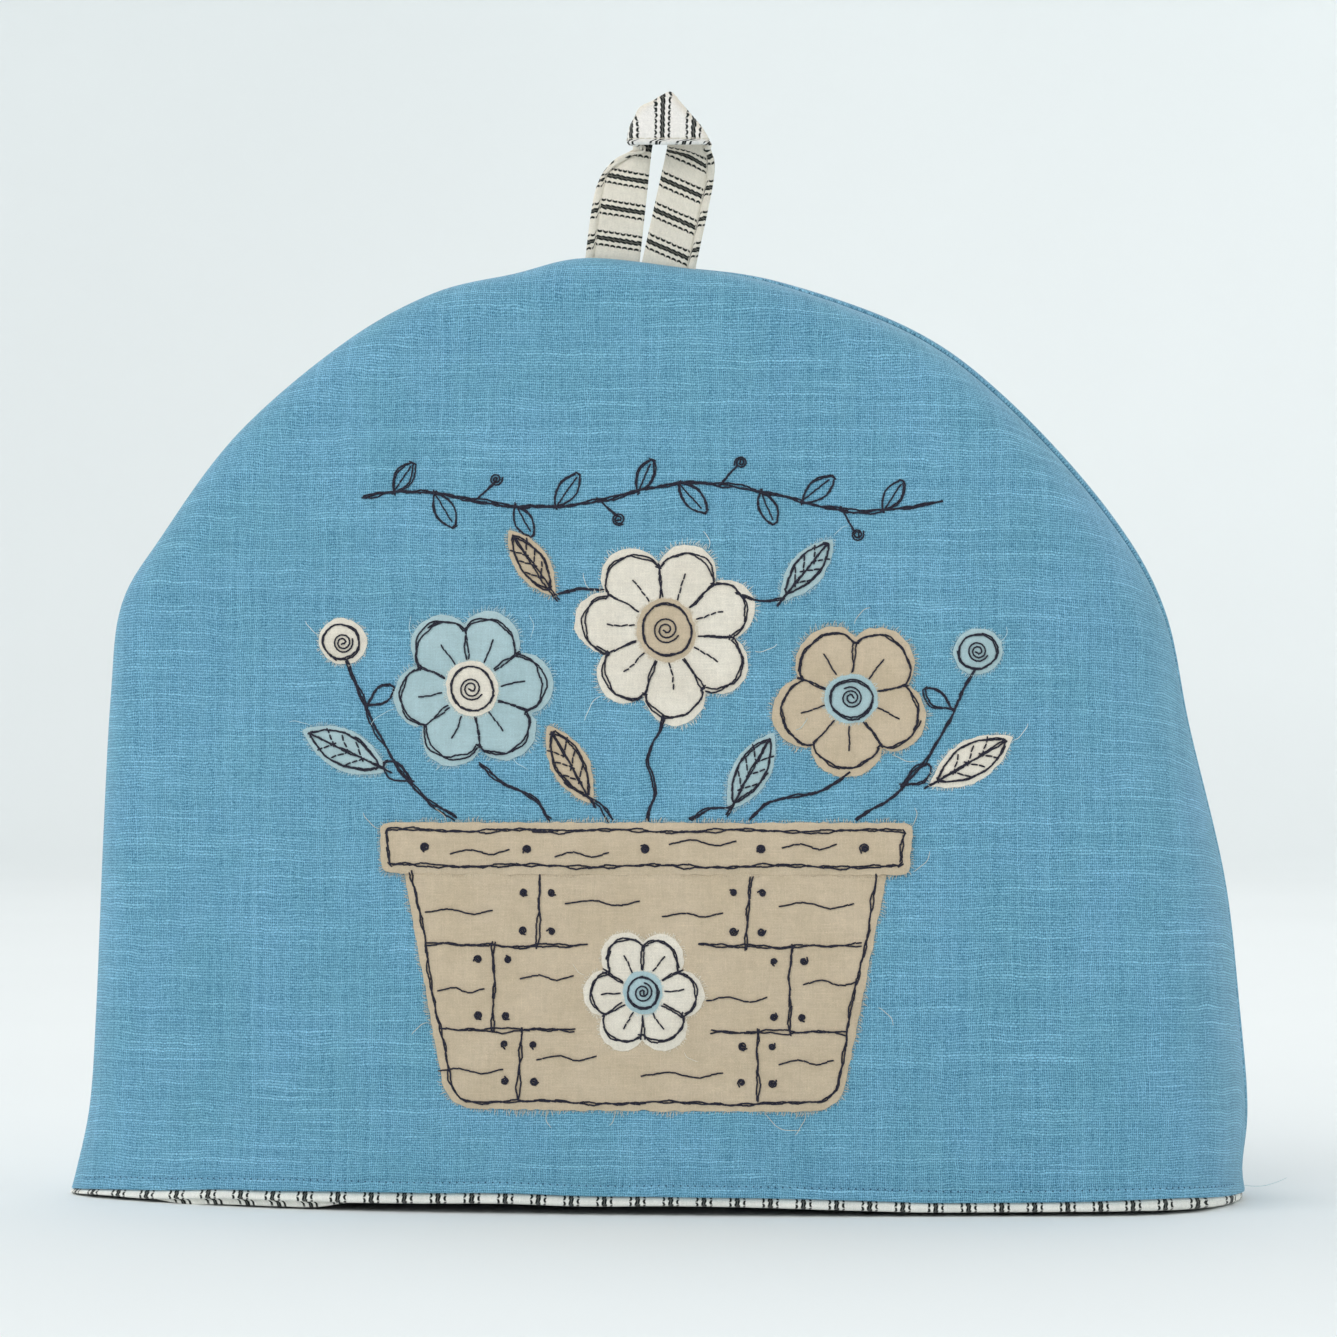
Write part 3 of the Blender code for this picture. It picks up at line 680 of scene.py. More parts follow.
@dataclass(frozen=True)
class PatchCotton:
    """Fine plain cotton of a patch, a little creased and faintly mottled."""

    name: str
    colour: Colour
    shade: Colour
    seed: float

    def material(self) -> Material:
        """Build the cotton's material."""
        material, net, shader = start_material(self.name)
        cloth = net.add("ShaderNodeUVMap", uv_map="cloth").outputs[0]
        weave = net.group(
            weave_group(), Cloth=cloth, Warp_Pitch=0.40, Weft_Pitch=0.44, Slub_Length=8.0,
            Slub_Start=0.64, Drift=0.4, Seed=self.seed,
        )
        soft = net.group(soft_tone_group(), Place=cloth, Broad=13.0, Fine=2.6, Seed=self.seed)
        fade = net.times(net.line(weave["Tone"], 0.32, 0.84), net.line(soft["Mottle"], 0.08, 0.95))
        base = net.scaled(net.mixed(soft["Tone"], linear(self.shade), linear(self.colour)), fade)
        # Painted shade in the gaps between threads
        gap_shaded = net.mixed(net.times(weave["Gap"], 0.4), base, linear(self.colour, 0.72))
        relief = net.line(soft["Mottle"], 1.5, weave["Height"])
        net.fill(
            shader, Base_Color=gap_shaded,
            Normal=net.bump(0.35, 0.00013, relief), Roughness=net.line(soft["Mottle"], 0.06, 0.86),
            Sheen_Weight=0.12, Specular_IOR_Level=0.25,
        )
        return material


@dataclass(frozen=True)
class Thread:
    """Sewing or frayed thread with a fine twist."""

    name: str
    colour: Colour
    shade: Colour
    roughness: float

    def material(self) -> Material:
        """Build the thread's material."""
        material, net, shader = start_material(self.name)
        place = net.add("ShaderNodeTexCoord").outputs["Object"]
        soft = net.group(soft_tone_group(), Place=place, Broad=3.0, Fine=0.45, Seed=2.0)
        net.fill(
            shader, Base_Color=net.mixed(soft["Mottle"], linear(self.shade), linear(self.colour)),
            Normal=net.bump(0.3, 0.00006, soft["Mottle"]), Roughness=self.roughness,
            Sheen_Weight=0.1, Specular_IOR_Level=0.35,
        )
        return material


@dataclass(frozen=True)
class StudioPaper:
    """Pale paper of the floor and the curved backdrop."""

    name: str = "studio_paper"
    colour: Colour = (0.932, 0.951, 0.953)

    def material(self) -> Material:
        """Build the paper's material."""
        material, net, shader = start_material(self.name)
        place = net.add("ShaderNodeTexCoord").outputs["Object"]
        soft = net.group(soft_tone_group(), Place=place, Broad=400.0, Fine=60.0, Seed=1.0)
        sheet = net.mixed(soft["Tone"], linear(self.colour), linear(self.colour, 0.992))
        net.fill(shader, Base_Color=sheet, Roughness=0.95, Specular_IOR_Level=0.1)
        return material


class Cloth(Enum):
    """The cloths of the patches, by the record's slot names."""

    BEIGE = "beige_cloth"
    PALE_BLUE = "pale_blue_cloth"
    CREAM = "cream_cloth"


class Palette:
    """Every finish of the cosy, each material made once."""

    cottons = (
        (Cloth.BEIGE, (0.805, 0.737, 0.638), (0.78, 0.712, 0.608), 11.0),
        (Cloth.PALE_BLUE, (0.693, 0.792, 0.812), (0.663, 0.767, 0.787), 17.0),
        (Cloth.CREAM, (0.915, 0.889, 0.834), (0.89, 0.859, 0.8), 23.0),
    )
    fray_colours = (
        (Cloth.BEIGE, (0.88, 0.83, 0.74), (0.80, 0.74, 0.64)),
        (Cloth.PALE_BLUE, (0.84, 0.91, 0.92), (0.72, 0.82, 0.84)),
        (Cloth.CREAM, (0.95, 0.94, 0.90), (0.88, 0.86, 0.80)),
    )
    hem_ground = (0.96, 0.955, 0.925)

    def __init__(self) -> None:
        """Make the materials."""
        self.linen = Linen().material()
        self.hem_ticking = Ticking("hem_ticking_cloth", 9.6, 0.0, self.hem_ground).material()
        self.loop_ticking = Ticking("loop_ticking_cloth", 9.3, 4.65).material()
        self.patches = {
            cloth: PatchCotton(f"{cloth.name.lower()}_cotton", colour, shade, seed).material()
            for cloth, colour, shade, seed in self.cottons
        }
        self.frays = {
            cloth: Thread(f"{cloth.name.lower()}_fray", colour, shade, 0.85).material()
            for cloth, colour, shade in self.fray_colours
        }
        navy, dark_navy = (0.105, 0.105, 0.20), (0.06, 0.055, 0.12)
        self.navy = Thread("navy_thread", navy, dark_navy, 0.55).material()
        self.blue = Thread("blue_thread", (0.50, 0.71, 0.82), (0.40, 0.61, 0.73), 0.6).material()
        # Dark thread of the needle-hole stubs: painted shade of the holes
        shaded, hollow = (0.20, 0.38, 0.48), (0.16, 0.31, 0.40)
        self.shaded_blue = Thread("shaded_blue", shaded, hollow, 0.9).material()
        self.ecru = Thread("ecru_thread", (0.90, 0.88, 0.83), (0.80, 0.77, 0.70), 0.7).material()


# Geometry Nodes


class RunTree(Wiring):
    """Base of the trees that lay small shapes along lines or at points."""

    name = "run"
    floats: dict[str, float] = {}

    def __init__(self) -> None:
        """Build the tree with its inputs and its closing nodes."""
        super().__init__(bpy.data.node_groups.new(self.name, "GeometryNodeTree"))
        face = self.tree.interface
        face.new_socket(name="Geometry", in_out="OUTPUT", socket_type="NodeSocketGeometry")
        kinds = {"Geometry": "Geometry", **dict.fromkeys(self.floats, "Float")}
        kinds |= {"Seed": "Int", "Material": "Material"}
        self.sockets: dict[str, str] = {}
        for label, kind in kinds.items():
            socket = face.new_socket(name=label, in_out="INPUT", socket_type=f"NodeSocket{kind}")
            if kind == "Float":
                socket.default_value = self.floats[label]
            self.sockets[label] = socket.identifier
        self.given = {socket.name: socket for socket in self.add("NodeGroupInput").outputs}
        finish = self.add("GeometryNodeSetMaterial")
        self.fill(finish, Geometry=self.shape(), Material=self.given["Material"])
        self.fill(self.add("NodeGroupOutput"), finish.outputs[0])

    def shape(self) -> Socket:
        """Lay out the nodes that make the geometry and return its socket."""
        raise NotImplementedError

    def stored(self, name: str, kind: str = "FLOAT_VECTOR") -> Socket:
        """Attribute stored on the source mesh."""
        node = self.add("GeometryNodeInputNamedAttribute", data_type=kind)
        return self.fill(node, Name=name).outputs["Attribute"]

    def random(self, low: object, high: object, salt: int) -> Socket:
        """Random number for each element.

        Args:
            low: Lowest value.
            high: Highest value.
            salt: Added to the tree's seed, to tell one use from another.

        Returns:
            The number's socket.
        """
        node = self.add("FunctionNodeRandomValue", data_type="FLOAT")
        sockets = {socket.identifier: socket for socket in (*node.inputs, *node.outputs)}
        self.feed(sockets["Min_001"], low)
        self.feed(sockets["Max_001"], high)
        self.feed(sockets["Seed"], self.plus(self.given["Seed"], float(salt)))
        return sockets["Value_001"]

    def facing(self, forward: Socket, up: Socket) -> Socket:
        """Rotation whose X follows one direction and whose Z leans towards another."""
        first = self.fill(self.add("FunctionNodeAlignRotationToVector", axis="X"), Vector=forward)
        second = self.add("FunctionNodeAlignRotationToVector", axis="Z", pivot_axis="X")
        return self.fill(second, Rotation=first.outputs[0], Vector=up).outputs[0]

    def turned(self, rotation: Socket, euler: Socket) -> Socket:
        """Turn a rotation by Euler angles about its own axes."""
        by = self.fill(self.add("FunctionNodeEulerToRotation"), euler)
        node = self.add("FunctionNodeRotateRotation", rotation_space="LOCAL")
        return self.fill(node, rotation, by.outputs[0]).outputs[0]

    def arc(self, steps: int, start: object, middle: object, end: object) -> Socket:
        """Curve bent by its middle point."""
        node = self.add("GeometryNodeCurveQuadraticBezier")
        return self.fill(node, Resolution=steps, Start=start, Middle=middle, End=end).outputs[0]

    def tube(self, curve: Socket, radius: object, sides: int, taper: object) -> Socket:
        """Tube round a curve, thinner at its ends.

        Args:
            curve: The curve.
            radius: Its radius at the middle.
            sides: Number of sides.
            taper: Share of the radius lost at each end.

        Returns:
            The tube's mesh.
        """
        place = self.add("GeometryNodeSplineParameter").outputs["Factor"]
        ends = self.math("POWER", self.math("ABSOLUTE", self.line(place, 2.0, -1.0)), 3.0)
        sized = self.add("GeometryNodeSetCurveRadius")
        self.fill(sized, Curve=curve, Radius=self.minus(1.0, self.times(ends, taper)))
        ring = self.add("GeometryNodeCurvePrimitiveCircle")
        self.fill(ring, Resolution=sides, Radius=radius)
        mesh = self.add("GeometryNodeCurveToMesh")
        self.fill(mesh, Curve=sized.outputs[0], Profile_Curve=ring.outputs[0], Fill_Caps=True)
        if "Scale" in mesh.inputs:
            self.fill(mesh, Scale=self.add("GeometryNodeInputRadius").outputs[0])
        return mesh.outputs[0]

    def real(self, geometry: Socket) -> Socket:
        """Turn instances into faces."""
        return self.fill(self.add("GeometryNodeRealizeInstances"), geometry).outputs[0]

    def planted(self, points: Socket, shape: Socket, rotation: Socket, scale: Socket) -> Socket:
        """Set a turned and scaled copy of a shape at each point."""
        lot = self.add("GeometryNodeInstanceOnPoints")
        self.fill(lot, Points=points, Instance=shape, Rotation=rotation, Scale=scale)
        return self.real(lot.outputs[0])

    def grow(
        self, name: str, source: Piece, material: Material, note: str, slot: str = "",
        **sizes: float,
    ) -> Piece:
        """Run the tree on a source mesh and keep the result as a plain mesh on the body.

        Args:
            name: The new piece's name.
            source: Mesh of lines or points; it is removed.
            material: The new piece's finish.
            note: What the log says of it.
            slot: Its material slot in the record, if it has one; not used.
            **sizes: Values of the tree's inputs, spaces as underscores.

        Returns:
            The new piece.
        """
        modifier = source.modifiers.new("run", "NODES")
        modifier.node_group = self.tree
        modifier[self.sockets["Material"]] = material
        for label, value in sizes.items():
            modifier[self.sockets[label.replace("_", " ")]] = value
        bpy.context.view_layer.update()
        graph = bpy.context.evaluated_depsgraph_get()
        data = bpy.data.meshes.new_from_object(source.evaluated_get(graph), depsgraph=graph)
        data.name = name
        source.modifiers.remove(modifier)
        bpy.data.objects.remove(source)
        for label in [item.name for item in data.attributes if item.name in ("up", "out", "reach")]:
            data.attributes.remove(data.attributes[label])
        data.shade_smooth()
        piece = linked(name, data)
        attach(piece, BODY)
        log_piece(piece, note)
        return piece


class StitchTree(RunTree):
    """Machine stitches along lines: short threads that dip into the cloth at both ends."""

    name = "machine_stitches"
    floats = {
        "Stitch Length": 0.0018, "Thread Radius": 0.0002, "Rise": 0.0002, "Turn": 0.1,
        "Cover": 0.94, "Dip": 0.8, "Taper": 0.35,
    }

    def shape(self) -> Socket:
        """Place one stitch at each step along the lines."""
        given = self.given
        curve = self.fill(self.add("GeometryNodeMeshToCurve"), Mesh=given["Geometry"])
        steps = self.add("GeometryNodeCurveToPoints", mode="LENGTH")
        self.fill(steps, Curve=curve.outputs[0], Length=given["Stitch Length"])
        half = self.times(self.times(given["Stitch Length"], given["Cover"]), 0.5)
        down = self.times(self.times(given["Rise"], given["Dip"]), -1.0)
        start = self.joined(self.times(half, -1.0), 0.0, down)
        middle = self.joined(0.0, 0.0, self.times(given["Rise"], 1.6))
        arc = self.arc(4, start, middle, self.joined(half, 0.0, down))
        stitch = self.tube(arc, given["Thread Radius"], 5, given["Taper"])
        turn = self.random(self.times(given["Turn"], -1.0), given["Turn"], 1)
        facing = self.facing(steps.outputs["Tangent"], self.stored("up"))
        rotation = self.turned(facing, self.joined(0.0, 0.0, turn))
        scale = self.joined(self.random(0.86, 1.08, 2), 1.0, 1.0)
        return self.planted(steps.outputs[0], stitch, rotation, scale)


class FringeTree(RunTree):
    """Frayed thread ends at points along a raw edge."""

    name = "frayed_edge"
    floats = {"Thread Radius": 0.00007, "Spread": 0.5, "Shortest": 0.35, "Lift": 0.0004}

    def shape(self) -> Socket:
        """Place one thread end at each point."""
        given = self.given
        middle = self.joined(0.5, 0.00014, given["Lift"])
        arc = self.arc(3, (-0.12, 0.0, -0.00004), middle, (1.0, -0.00018, 0.0001))
        thread = self.tube(arc, given["Thread Radius"], 4, 0.5)
        turn = self.random(self.times(given["Spread"], -1.0), given["Spread"], 3)
        tilt = self.joined(0.0, self.random(-0.12, 0.02, 4), turn)
        facing = self.facing(self.stored("out"), self.stored("up"))
        length = self.times(self.stored("reach", "FLOAT"), self.random(given["Shortest"], 1.0, 5))
        scale = self.joined(length, self.random(0.7, 1.2, 6), self.random(0.7, 1.2, 7))
        return self.planted(given["Geometry"], thread, self.turned(facing, tilt), scale)


class StrandTree(RunTree):
    """Long loose threads that follow their own lines."""

    name = "loose_strands"
    floats = {"Thread Radius": 0.00008}

    def shape(self) -> Socket:
        """Make a tube round each line."""
        curve = self.fill(self.add("GeometryNodeMeshToCurve"), Mesh=self.given["Geometry"])
        return self.real(self.tube(curve.outputs[0], self.given["Thread Radius"], 5, 0.4))


def line_source(name: str, lines: list[tuple[Array, Array]]) -> Piece:
    """Mesh of loose edges for a tree to follow.

    Args:
        name: The object's name.
        lines: Each line's points in millimetres and the cloth's normal at them.

    Returns:
        The object, its normals in the attribute "up".
    """
    edges, count = [], 0
    for line, _ in lines:
        edges.extend((count + step, count + step + 1) for step in range(len(line) - 1))
        count += len(line)
    data = bpy.data.meshes.new(name)
    data.from_pydata((np.vstack([line for line, _ in lines]) * MM).tolist(), edges, [])
    store(data, "up", np.vstack([normal for _, normal in lines]))
    return linked(name, data)


def point_source(name: str, points: Array, out: Array, up: Array, reach: Array) -> Piece:
    """Mesh of loose points for a tree to plant threads on.

    Args:
        name: The object's name.
        points: The points, in millimetres.
        out: Direction of the thread at each point.
        up: The cloth's normal at each point.
        reach: Longest thread at each point, in millimetres.

    Returns:
        The object, with its attributes.
    """
    data = bpy.data.meshes.new(name)
    data.from_pydata((points * MM).tolist(), [], [])
    for label, values in (("out", out), ("up", up), ("reach", reach * MM)):
        store(data, label, values)
    return linked(name, data)


# The form of the cosy


@dataclass
class Seam:
    """The line where the two panels meet, seen from the front, from hem to hem over the top."""

    knots: Table = (
        (-177, 0), (-174.9, 8), (-171, 27), (-169, 56), (-166.7, 110),
        (-164.5, 150), (-161.3, 177), (-149.7, 196.8), (-126.5, 228), (-94.6, 255.2),
        (-67.5, 270.2), (-43, 276), (-22, 280.6), (7, 277.8), (36, 272.6),
        (75.3, 257.9), (102.6, 237.8), (132.1, 205.5), (150, 175.5), (158, 140),
        (168.4, 95), (172.6, 56), (174.8, 26), (173.9, 9), (174.9, 3.6), (173.8, 0),
    )
    count: int = 241
    line: Array = field(init=False)
    normals: Array = field(init=False)
    top: int = field(init=False)

    def __post_init__(self) -> None:
        """Work out the line and its normals."""
        self.line = smooth_curve(self.knots, self.count)
        self.top = int(self.line[:, 1].argmax())
        tangent = np.gradient(self.line, axis=0)
        normal = np.column_stack((-tangent[:, 1], tangent[:, 0]))
        normal[:, 1] *= ease(self.line[:, 1] / 30.0)
        self.normals = unit(normal)

    def left(self, z: Array | float) -> Array:
        """X of the left side at a height."""
        return np.interp(z, self.line[: self.top + 1, 1], self.line[: self.top + 1, 0])

    def right(self, z: Array | float) -> Array:
        """X of the right side at a height."""
        return np.interp(z, self.line[: self.top : -1, 1], self.line[: self.top : -1, 0])

    def width_share(self, x: Array, z: Array | float) -> Array:
        """Share of the width, 0 at the left side and 1 at the right side."""
        left = self.left(z)
        width = np.maximum(self.right(z) - left, 1.0)
        return np.clip((x - left) / width, 0.0, 1.0)

    def reach(self, x: Array, z: Array) -> tuple[Array, Array, Array]:
        """Find the nearest place on the seam.

        Args:
            x: Flat points' x.
            z: Flat points' z.

        Returns:
            Each point's distance to the seam, and the seam's outward normal and share there.
        """
        parts = []
        starts = self.line[:-1]
        run = np.diff(self.line, axis=0)
        square = (run**2).sum(axis=1)
        for block in np.array_split(np.column_stack((x, z)), max(1, len(x) // 4000)):
            offset = block[:, None, :] - starts[None]
            along = np.clip((offset * run[None]).sum(axis=2) / square[None], 0.0, 1.0)
            gap = np.linalg.norm(offset - run[None] * along[..., None], axis=2)
            nearest = gap.argmin(axis=1)
            rows = np.arange(len(block))
            part = along[rows, nearest]
            parts.append(np.column_stack((gap[rows, nearest], nearest, part)))
        distance, nearest, part = np.vstack(parts).T
        index = nearest.astype(int)
        blend = part[:, None]
        normal = unit(self.normals[index] * (1.0 - blend) + self.normals[index + 1] * blend)
        return distance, normal, (nearest + part) / (len(self.line) - 1)


SEAM = Seam()


@dataclass(frozen=True)
class Hem:
    """Heights of the linen's lower edge and of the cloth rows just above it."""

    blue_edge: Table = (
        (0, 1.5), (0.03, 1.8), (0.06, 2.5), (0.09, 2.7), (0.13, 2.8), (0.18, 2.9), (0.25, 3.35),
        (0.34, 3.25), (0.45, 3.15), (0.55, 2.8), (0.65, 3.05), (0.75, 2.85), (0.84, 2.95),
        (0.9, 3.35), (0.94, 3.6), (0.975, 3), (1, 2.5),
    )
    rows: tuple[float, ...] = (0.0, 0.2, 0.5, 1.0, 1.8, 2.6, 3.3, 4.0, 4.8, 6.0, 7.9, 10.2)
    rim_width: float = 12.0
    rim_rings: int = 11
    stations: int = 112

    def rim_distances(self) -> Array:
        """Distances from the seam of the rings that follow the rounded rim."""
        turn = np.linspace(0.0, math.pi / 2.0, self.rim_rings + 1)
        return self.rim_width * (1.0 - np.cos(turn))

    def station_x(self, z: Array | float) -> Array:
        """X of every station along the hem at a height, or at a height for each station."""
        rim = self.rim_distances()
        inner = np.linspace(0.0, 1.0, self.stations + 2)[1:-1]
        height = np.broadcast_to(z, 2 * len(rim) + len(inner))
        left = SEAM.left(height)
        right = SEAM.right(height)
        first, last = len(rim), len(rim) + len(inner)
        x = np.empty(len(height))
        x[:first] = left[:first] + rim
        x[first:last] = left[first:last] + self.rim_width
        x[first:last] += inner * (right[first:last] - left[first:last] - 2.0 * self.rim_width)
        x[last:] = right[last:] - rim[::-1]
        return x

    def edge(self) -> Array:
        """Height of the linen's lower edge at every station."""
        return self.edge_at(self.station_x(0.0))

    def edge_at(self, x: Array) -> Array:
        """Height of the linen's lower edge at each x."""
        return table_value(self.blue_edge, SEAM.width_share(x, 0.0))


HEM = Hem()


@dataclass(frozen=True)
class Side:
    """One side of the cosy: its bulge, dents and lifted hem, and how to place things on it."""

    name: str
    way: float
    lens: Table
    puff: Table
    lift: Table
    dents: tuple[tuple[float, ...], ...]
    phase: float
    rim_depth: float = 8.5
    right_rim_extra: float = 7.5
    bulge: float = 50.0
    bulge_power: float = 1.45
    bulge_height: float = 284.0
    shoulder_height: float = 177.0
    lift_height: float = 36.0
    seam_gap: float = 0.3
    seam_pinch: float = 1.0
    seam_length: float = 860.0

    def crumple(self, x: Array, z: Array, distance: Array, share: Array) -> Array:
        """Small soft waves of the padded cloth, and puckers beside the seam.

        Args:
            x: Flat points' x.
            z: Flat points' z.
            distance: Their distance to the seam.
            share: The seam's share nearest to them.

        Returns:
            How far each point stands out, in millimetres.
        """
        p = self.phase
        broad = np.sin(x / 27.0 + 1.6 * np.sin(z / 46.0 + p))
        broad = broad * np.sin(z / 34.0 + 1.2 * np.sin(x / 55.0 + p))
        small = np.sin(x / 11.0 + 2.0 * np.sin(z / 21.0 + p))
        small = small * np.sin(z / 14.0 + 1.5 * np.sin(x / 17.0))
        wave = (0.42 * broad + 0.14 * small) * ease(distance / 28.0)
        run = share * self.seam_length
        pucker = np.sin(run / 1.35 + 2.2 * np.sin(run / 11.0 + p)) + 0.6 * np.sin(run / 2.7 + p)
        return wave + 0.16 * pucker * np.exp(-(((distance - 5.0) / 3.6) ** 2))

    def surface(
        self, x: Array, z: Array, seam_gap: float | None = None, fine: bool = True
    ) -> Array:
        """Place flat points on the outer surface.

        Args:
            x: Flat points' x.
            z: Flat points' z.
            seam_gap: Distance between the two panels at the seam; None for the usual one.
            fine: Whether to add the small waves and the shape of the hem.

        Returns:
            The points in space.
        """
        z = np.maximum(z, 0.0)
        distance, normal, seam_share = SEAM.reach(x, z)
        share = SEAM.width_share(x, z)
        turn = np.arccos(1.0 - np.minimum(distance, HEM.rim_width) / HEM.rim_width)
        low_right = ease((share - 0.75) / 0.25) * ease(1.0 - z / self.shoulder_height)
        depth = (self.rim_depth + self.right_rim_extra * low_right) * np.sin(turn)
        swell = 1.0 - (z / self.bulge_height) ** self.bulge_power
        depth = depth + self.bulge * table_value(self.lens, share) * swell
        fade = ease(distance / 25.0)
        for dent_x, dent_z, reach_x, reach_z, dent_depth in self.dents:
            near = ((x - dent_x) / reach_x) ** 2 + ((z - dent_z) / reach_z) ** 2
            depth = depth - fade * dent_depth * np.exp(-near)
        if fine:
            depth = depth + self.crumple(x, z, distance, seam_share)
            above = z - HEM.edge_at(x)
            roll = 1.0 - np.clip(above / 0.8, 0.0, 1.0)
            away = ease(distance / 3.0)
            depth = depth - away * 0.5 * (1.0 - np.sqrt(1.0 - roll**2))
            stitched = 0.35 * np.exp(-(((above - STITCH_HEIGHT) / 0.7) ** 2))
            depth = depth + away * (0.6 * ease(1.0 - above / 4.0) - stitched)
        pinch = self.seam_pinch * np.exp(-distance / 0.1) * ease((z - 6.0) / 20.0)
        swollen = np.sqrt(np.maximum(np.sin(2.0 * turn), 0.0))
        puff = table_value(self.puff, seam_share) * swollen - pinch
        lift = table_value(self.lift, share) * ease(1.0 - z / self.lift_height)
        gap = self.seam_gap if seam_gap is None else seam_gap
        return np.column_stack((
            x + normal[:, 0] * puff,
            self.way * (depth + gap / 2.0),
            z + normal[:, 1] * puff + lift,
        ))

    def placed(self, flat: Array, height: Array | float) -> tuple[Array, Array]:
        """Place flat points above the surface.

        Args:
            flat: The points' x and z.
            height: How far above the cloth they lie, in millimetres.

        Returns:
            The points in space and the cloth's normals there.
        """
        step = 1.2
        x, z = flat[:, 0], flat[:, 1]
        middle = self.surface(x, z)
        over_x = self.surface(x + step, z) - self.surface(x - step, z)
        over_z = self.surface(x, z + step) - self.surface(x, z - step)
        normal = unit(np.cross(over_x, over_z)) * -self.way
        return middle + normal * np.reshape(height, (-1, 1)), normal


FRONT = Side(
    name="front",
    way=-1.0,
    lens=((0, 0), (0.05, 0.26), (0.12, 0.52), (0.2, 0.73), (0.31, 0.88), (0.45, 0.97),
          (0.6, 1), (0.76, 0.96), (0.88, 0.83), (0.95, 0.57), (1, 0)),
    puff=((0, 0.8), (0.15, 1.1), (0.45, 1.2), (0.52, 0.9), (0.78, 0.9), (0.95, 1), (1, 0.5)),
    lift=((0, 0.2), (0.03, 1), (0.056, 0.9), (0.075, 0.95), (0.107, 1.5), (0.141, 2.25),
          (0.18, 2.4), (0.25, 2.45), (0.31, 2.65), (0.38, 3), (0.45, 2.5), (0.517, 2.8),
          (0.585, 2.6), (0.653, 1.95), (0.722, 1.3), (0.76, 1.2), (0.89, 1.4), (0.93, 1.25),
          (0.961, 0.95), (0.986, 0.35), (1, 0)),
    dents=((-108, 148, 34, 40, 1.6), (-93, 105, 16, 48, 1.2),
           (-118, 24, 52, 15, 1.5), (118, 60, 30, 60, 1.2),
           (60, 232, 60, 22, 1.2), (-60, 226, 50, 26, -1)),
    phase=0.7,
)
BACK = Side(
    name="back",
    way=1.0,
    lens=((0, 0), (0.05, 0.38), (0.13, 0.66), (0.25, 0.88), (0.4, 0.98), (0.55, 1),
          (0.7, 0.96), (0.82, 0.84), (0.92, 0.55), (1, 0)),
    puff=((0, 0.3), (0.42, 0.6), (0.5, 1.4), (0.56, 2.8), (0.62, 3.3), (0.73, 3.3), (0.79, 2.2),
          (0.88, 2.3), (0.93, 2.7), (0.965, 2.8), (1, 0.7)),
    lift=((0, 0), (1, 0)),
    dents=((-70, 150, 40, 70, 1.8), (85, 96, 34, 60, 1.6),
           (10, 216, 70, 24, 1.4), (100, 22, 48, 14, 1.2)),
    phase=2.9,
)


# Panels


@dataclass
class PanelLayout:
    """Flat points and triangles that both panels share: hem rows, rim rings and an even field."""

    spacing: float = 3.4
    arch_clearance: float = 1.5
    flat: Array = field(init=False)
    triangles: Triangles = field(init=False)

    def __post_init__(self) -> None:
        """Fill the outline."""
        edge = HEM.edge()
        rows = [np.column_stack((HEM.station_x(edge + up), edge + up)) for up in HEM.rows]
        top_left, top_right = rows[-1][0, 1], rows[-1][-1, 1]
        index = np.arange(len(SEAM.line))
        z = SEAM.line[:, 1]
        foot = np.where(index < SEAM.top, top_left, top_right)
        keep = z > foot + self.arch_clearance
        arch = SEAM.line[keep]
        normal = SEAM.normals[keep]
        left_side = [row[0] for row in rows[1:]]
        right_side = [row[-1] for row in rows[:0:-1]]
        outline = [rows[0][0], *left_side, *arch, *right_side, *rows[0][:0:-1]]
        points = list(outline)
        chains = [list(range(len(points)))]
        side_count = len(rows) - 1
        for number, row in enumerate(rows[1:], start=1):
            left_index = number
            right_index = 1 + side_count + len(arch) + (side_count - number)
            inner = list(range(len(points), len(points) + len(row) - 2))
            points.extend(row[1:-1])
            chains.append([left_index, *inner, right_index])
        for distance in HEM.rim_distances()[1:]:
            ring = arch - normal * distance
            chains.append(list(range(len(points), len(points) + len(ring))))
            points.extend(ring)
        points.extend(self.field_points())
        self.flat, self.triangles = triangulate(np.array(points), chains)

    def field_points(self) -> Array:
        """Staggered rows of points inside the hem rows and the rim rings."""
        rows = []
        height = self.spacing * math.sqrt(3.0) / 2.0
        for row, z in enumerate(np.arange(12.0, 284.0, height)):
            x = np.arange(-180.0, 180.0, self.spacing) + (row % 2) * self.spacing / 2.0
            rows.append(np.column_stack((x, np.full(len(x), z))))
        points = np.vstack(rows)
        x, z = points.T
        points = points[(x > SEAM.left(z)) & (x < SEAM.right(z))]
        x, z = points.T
        clear = SEAM.reach(x, z)[0] > HEM.rim_width + self.spacing * 0.5
        above = z > HEM.edge_at(x) + HEM.rows[-1] + self.spacing * 0.6
        return points[clear & above]


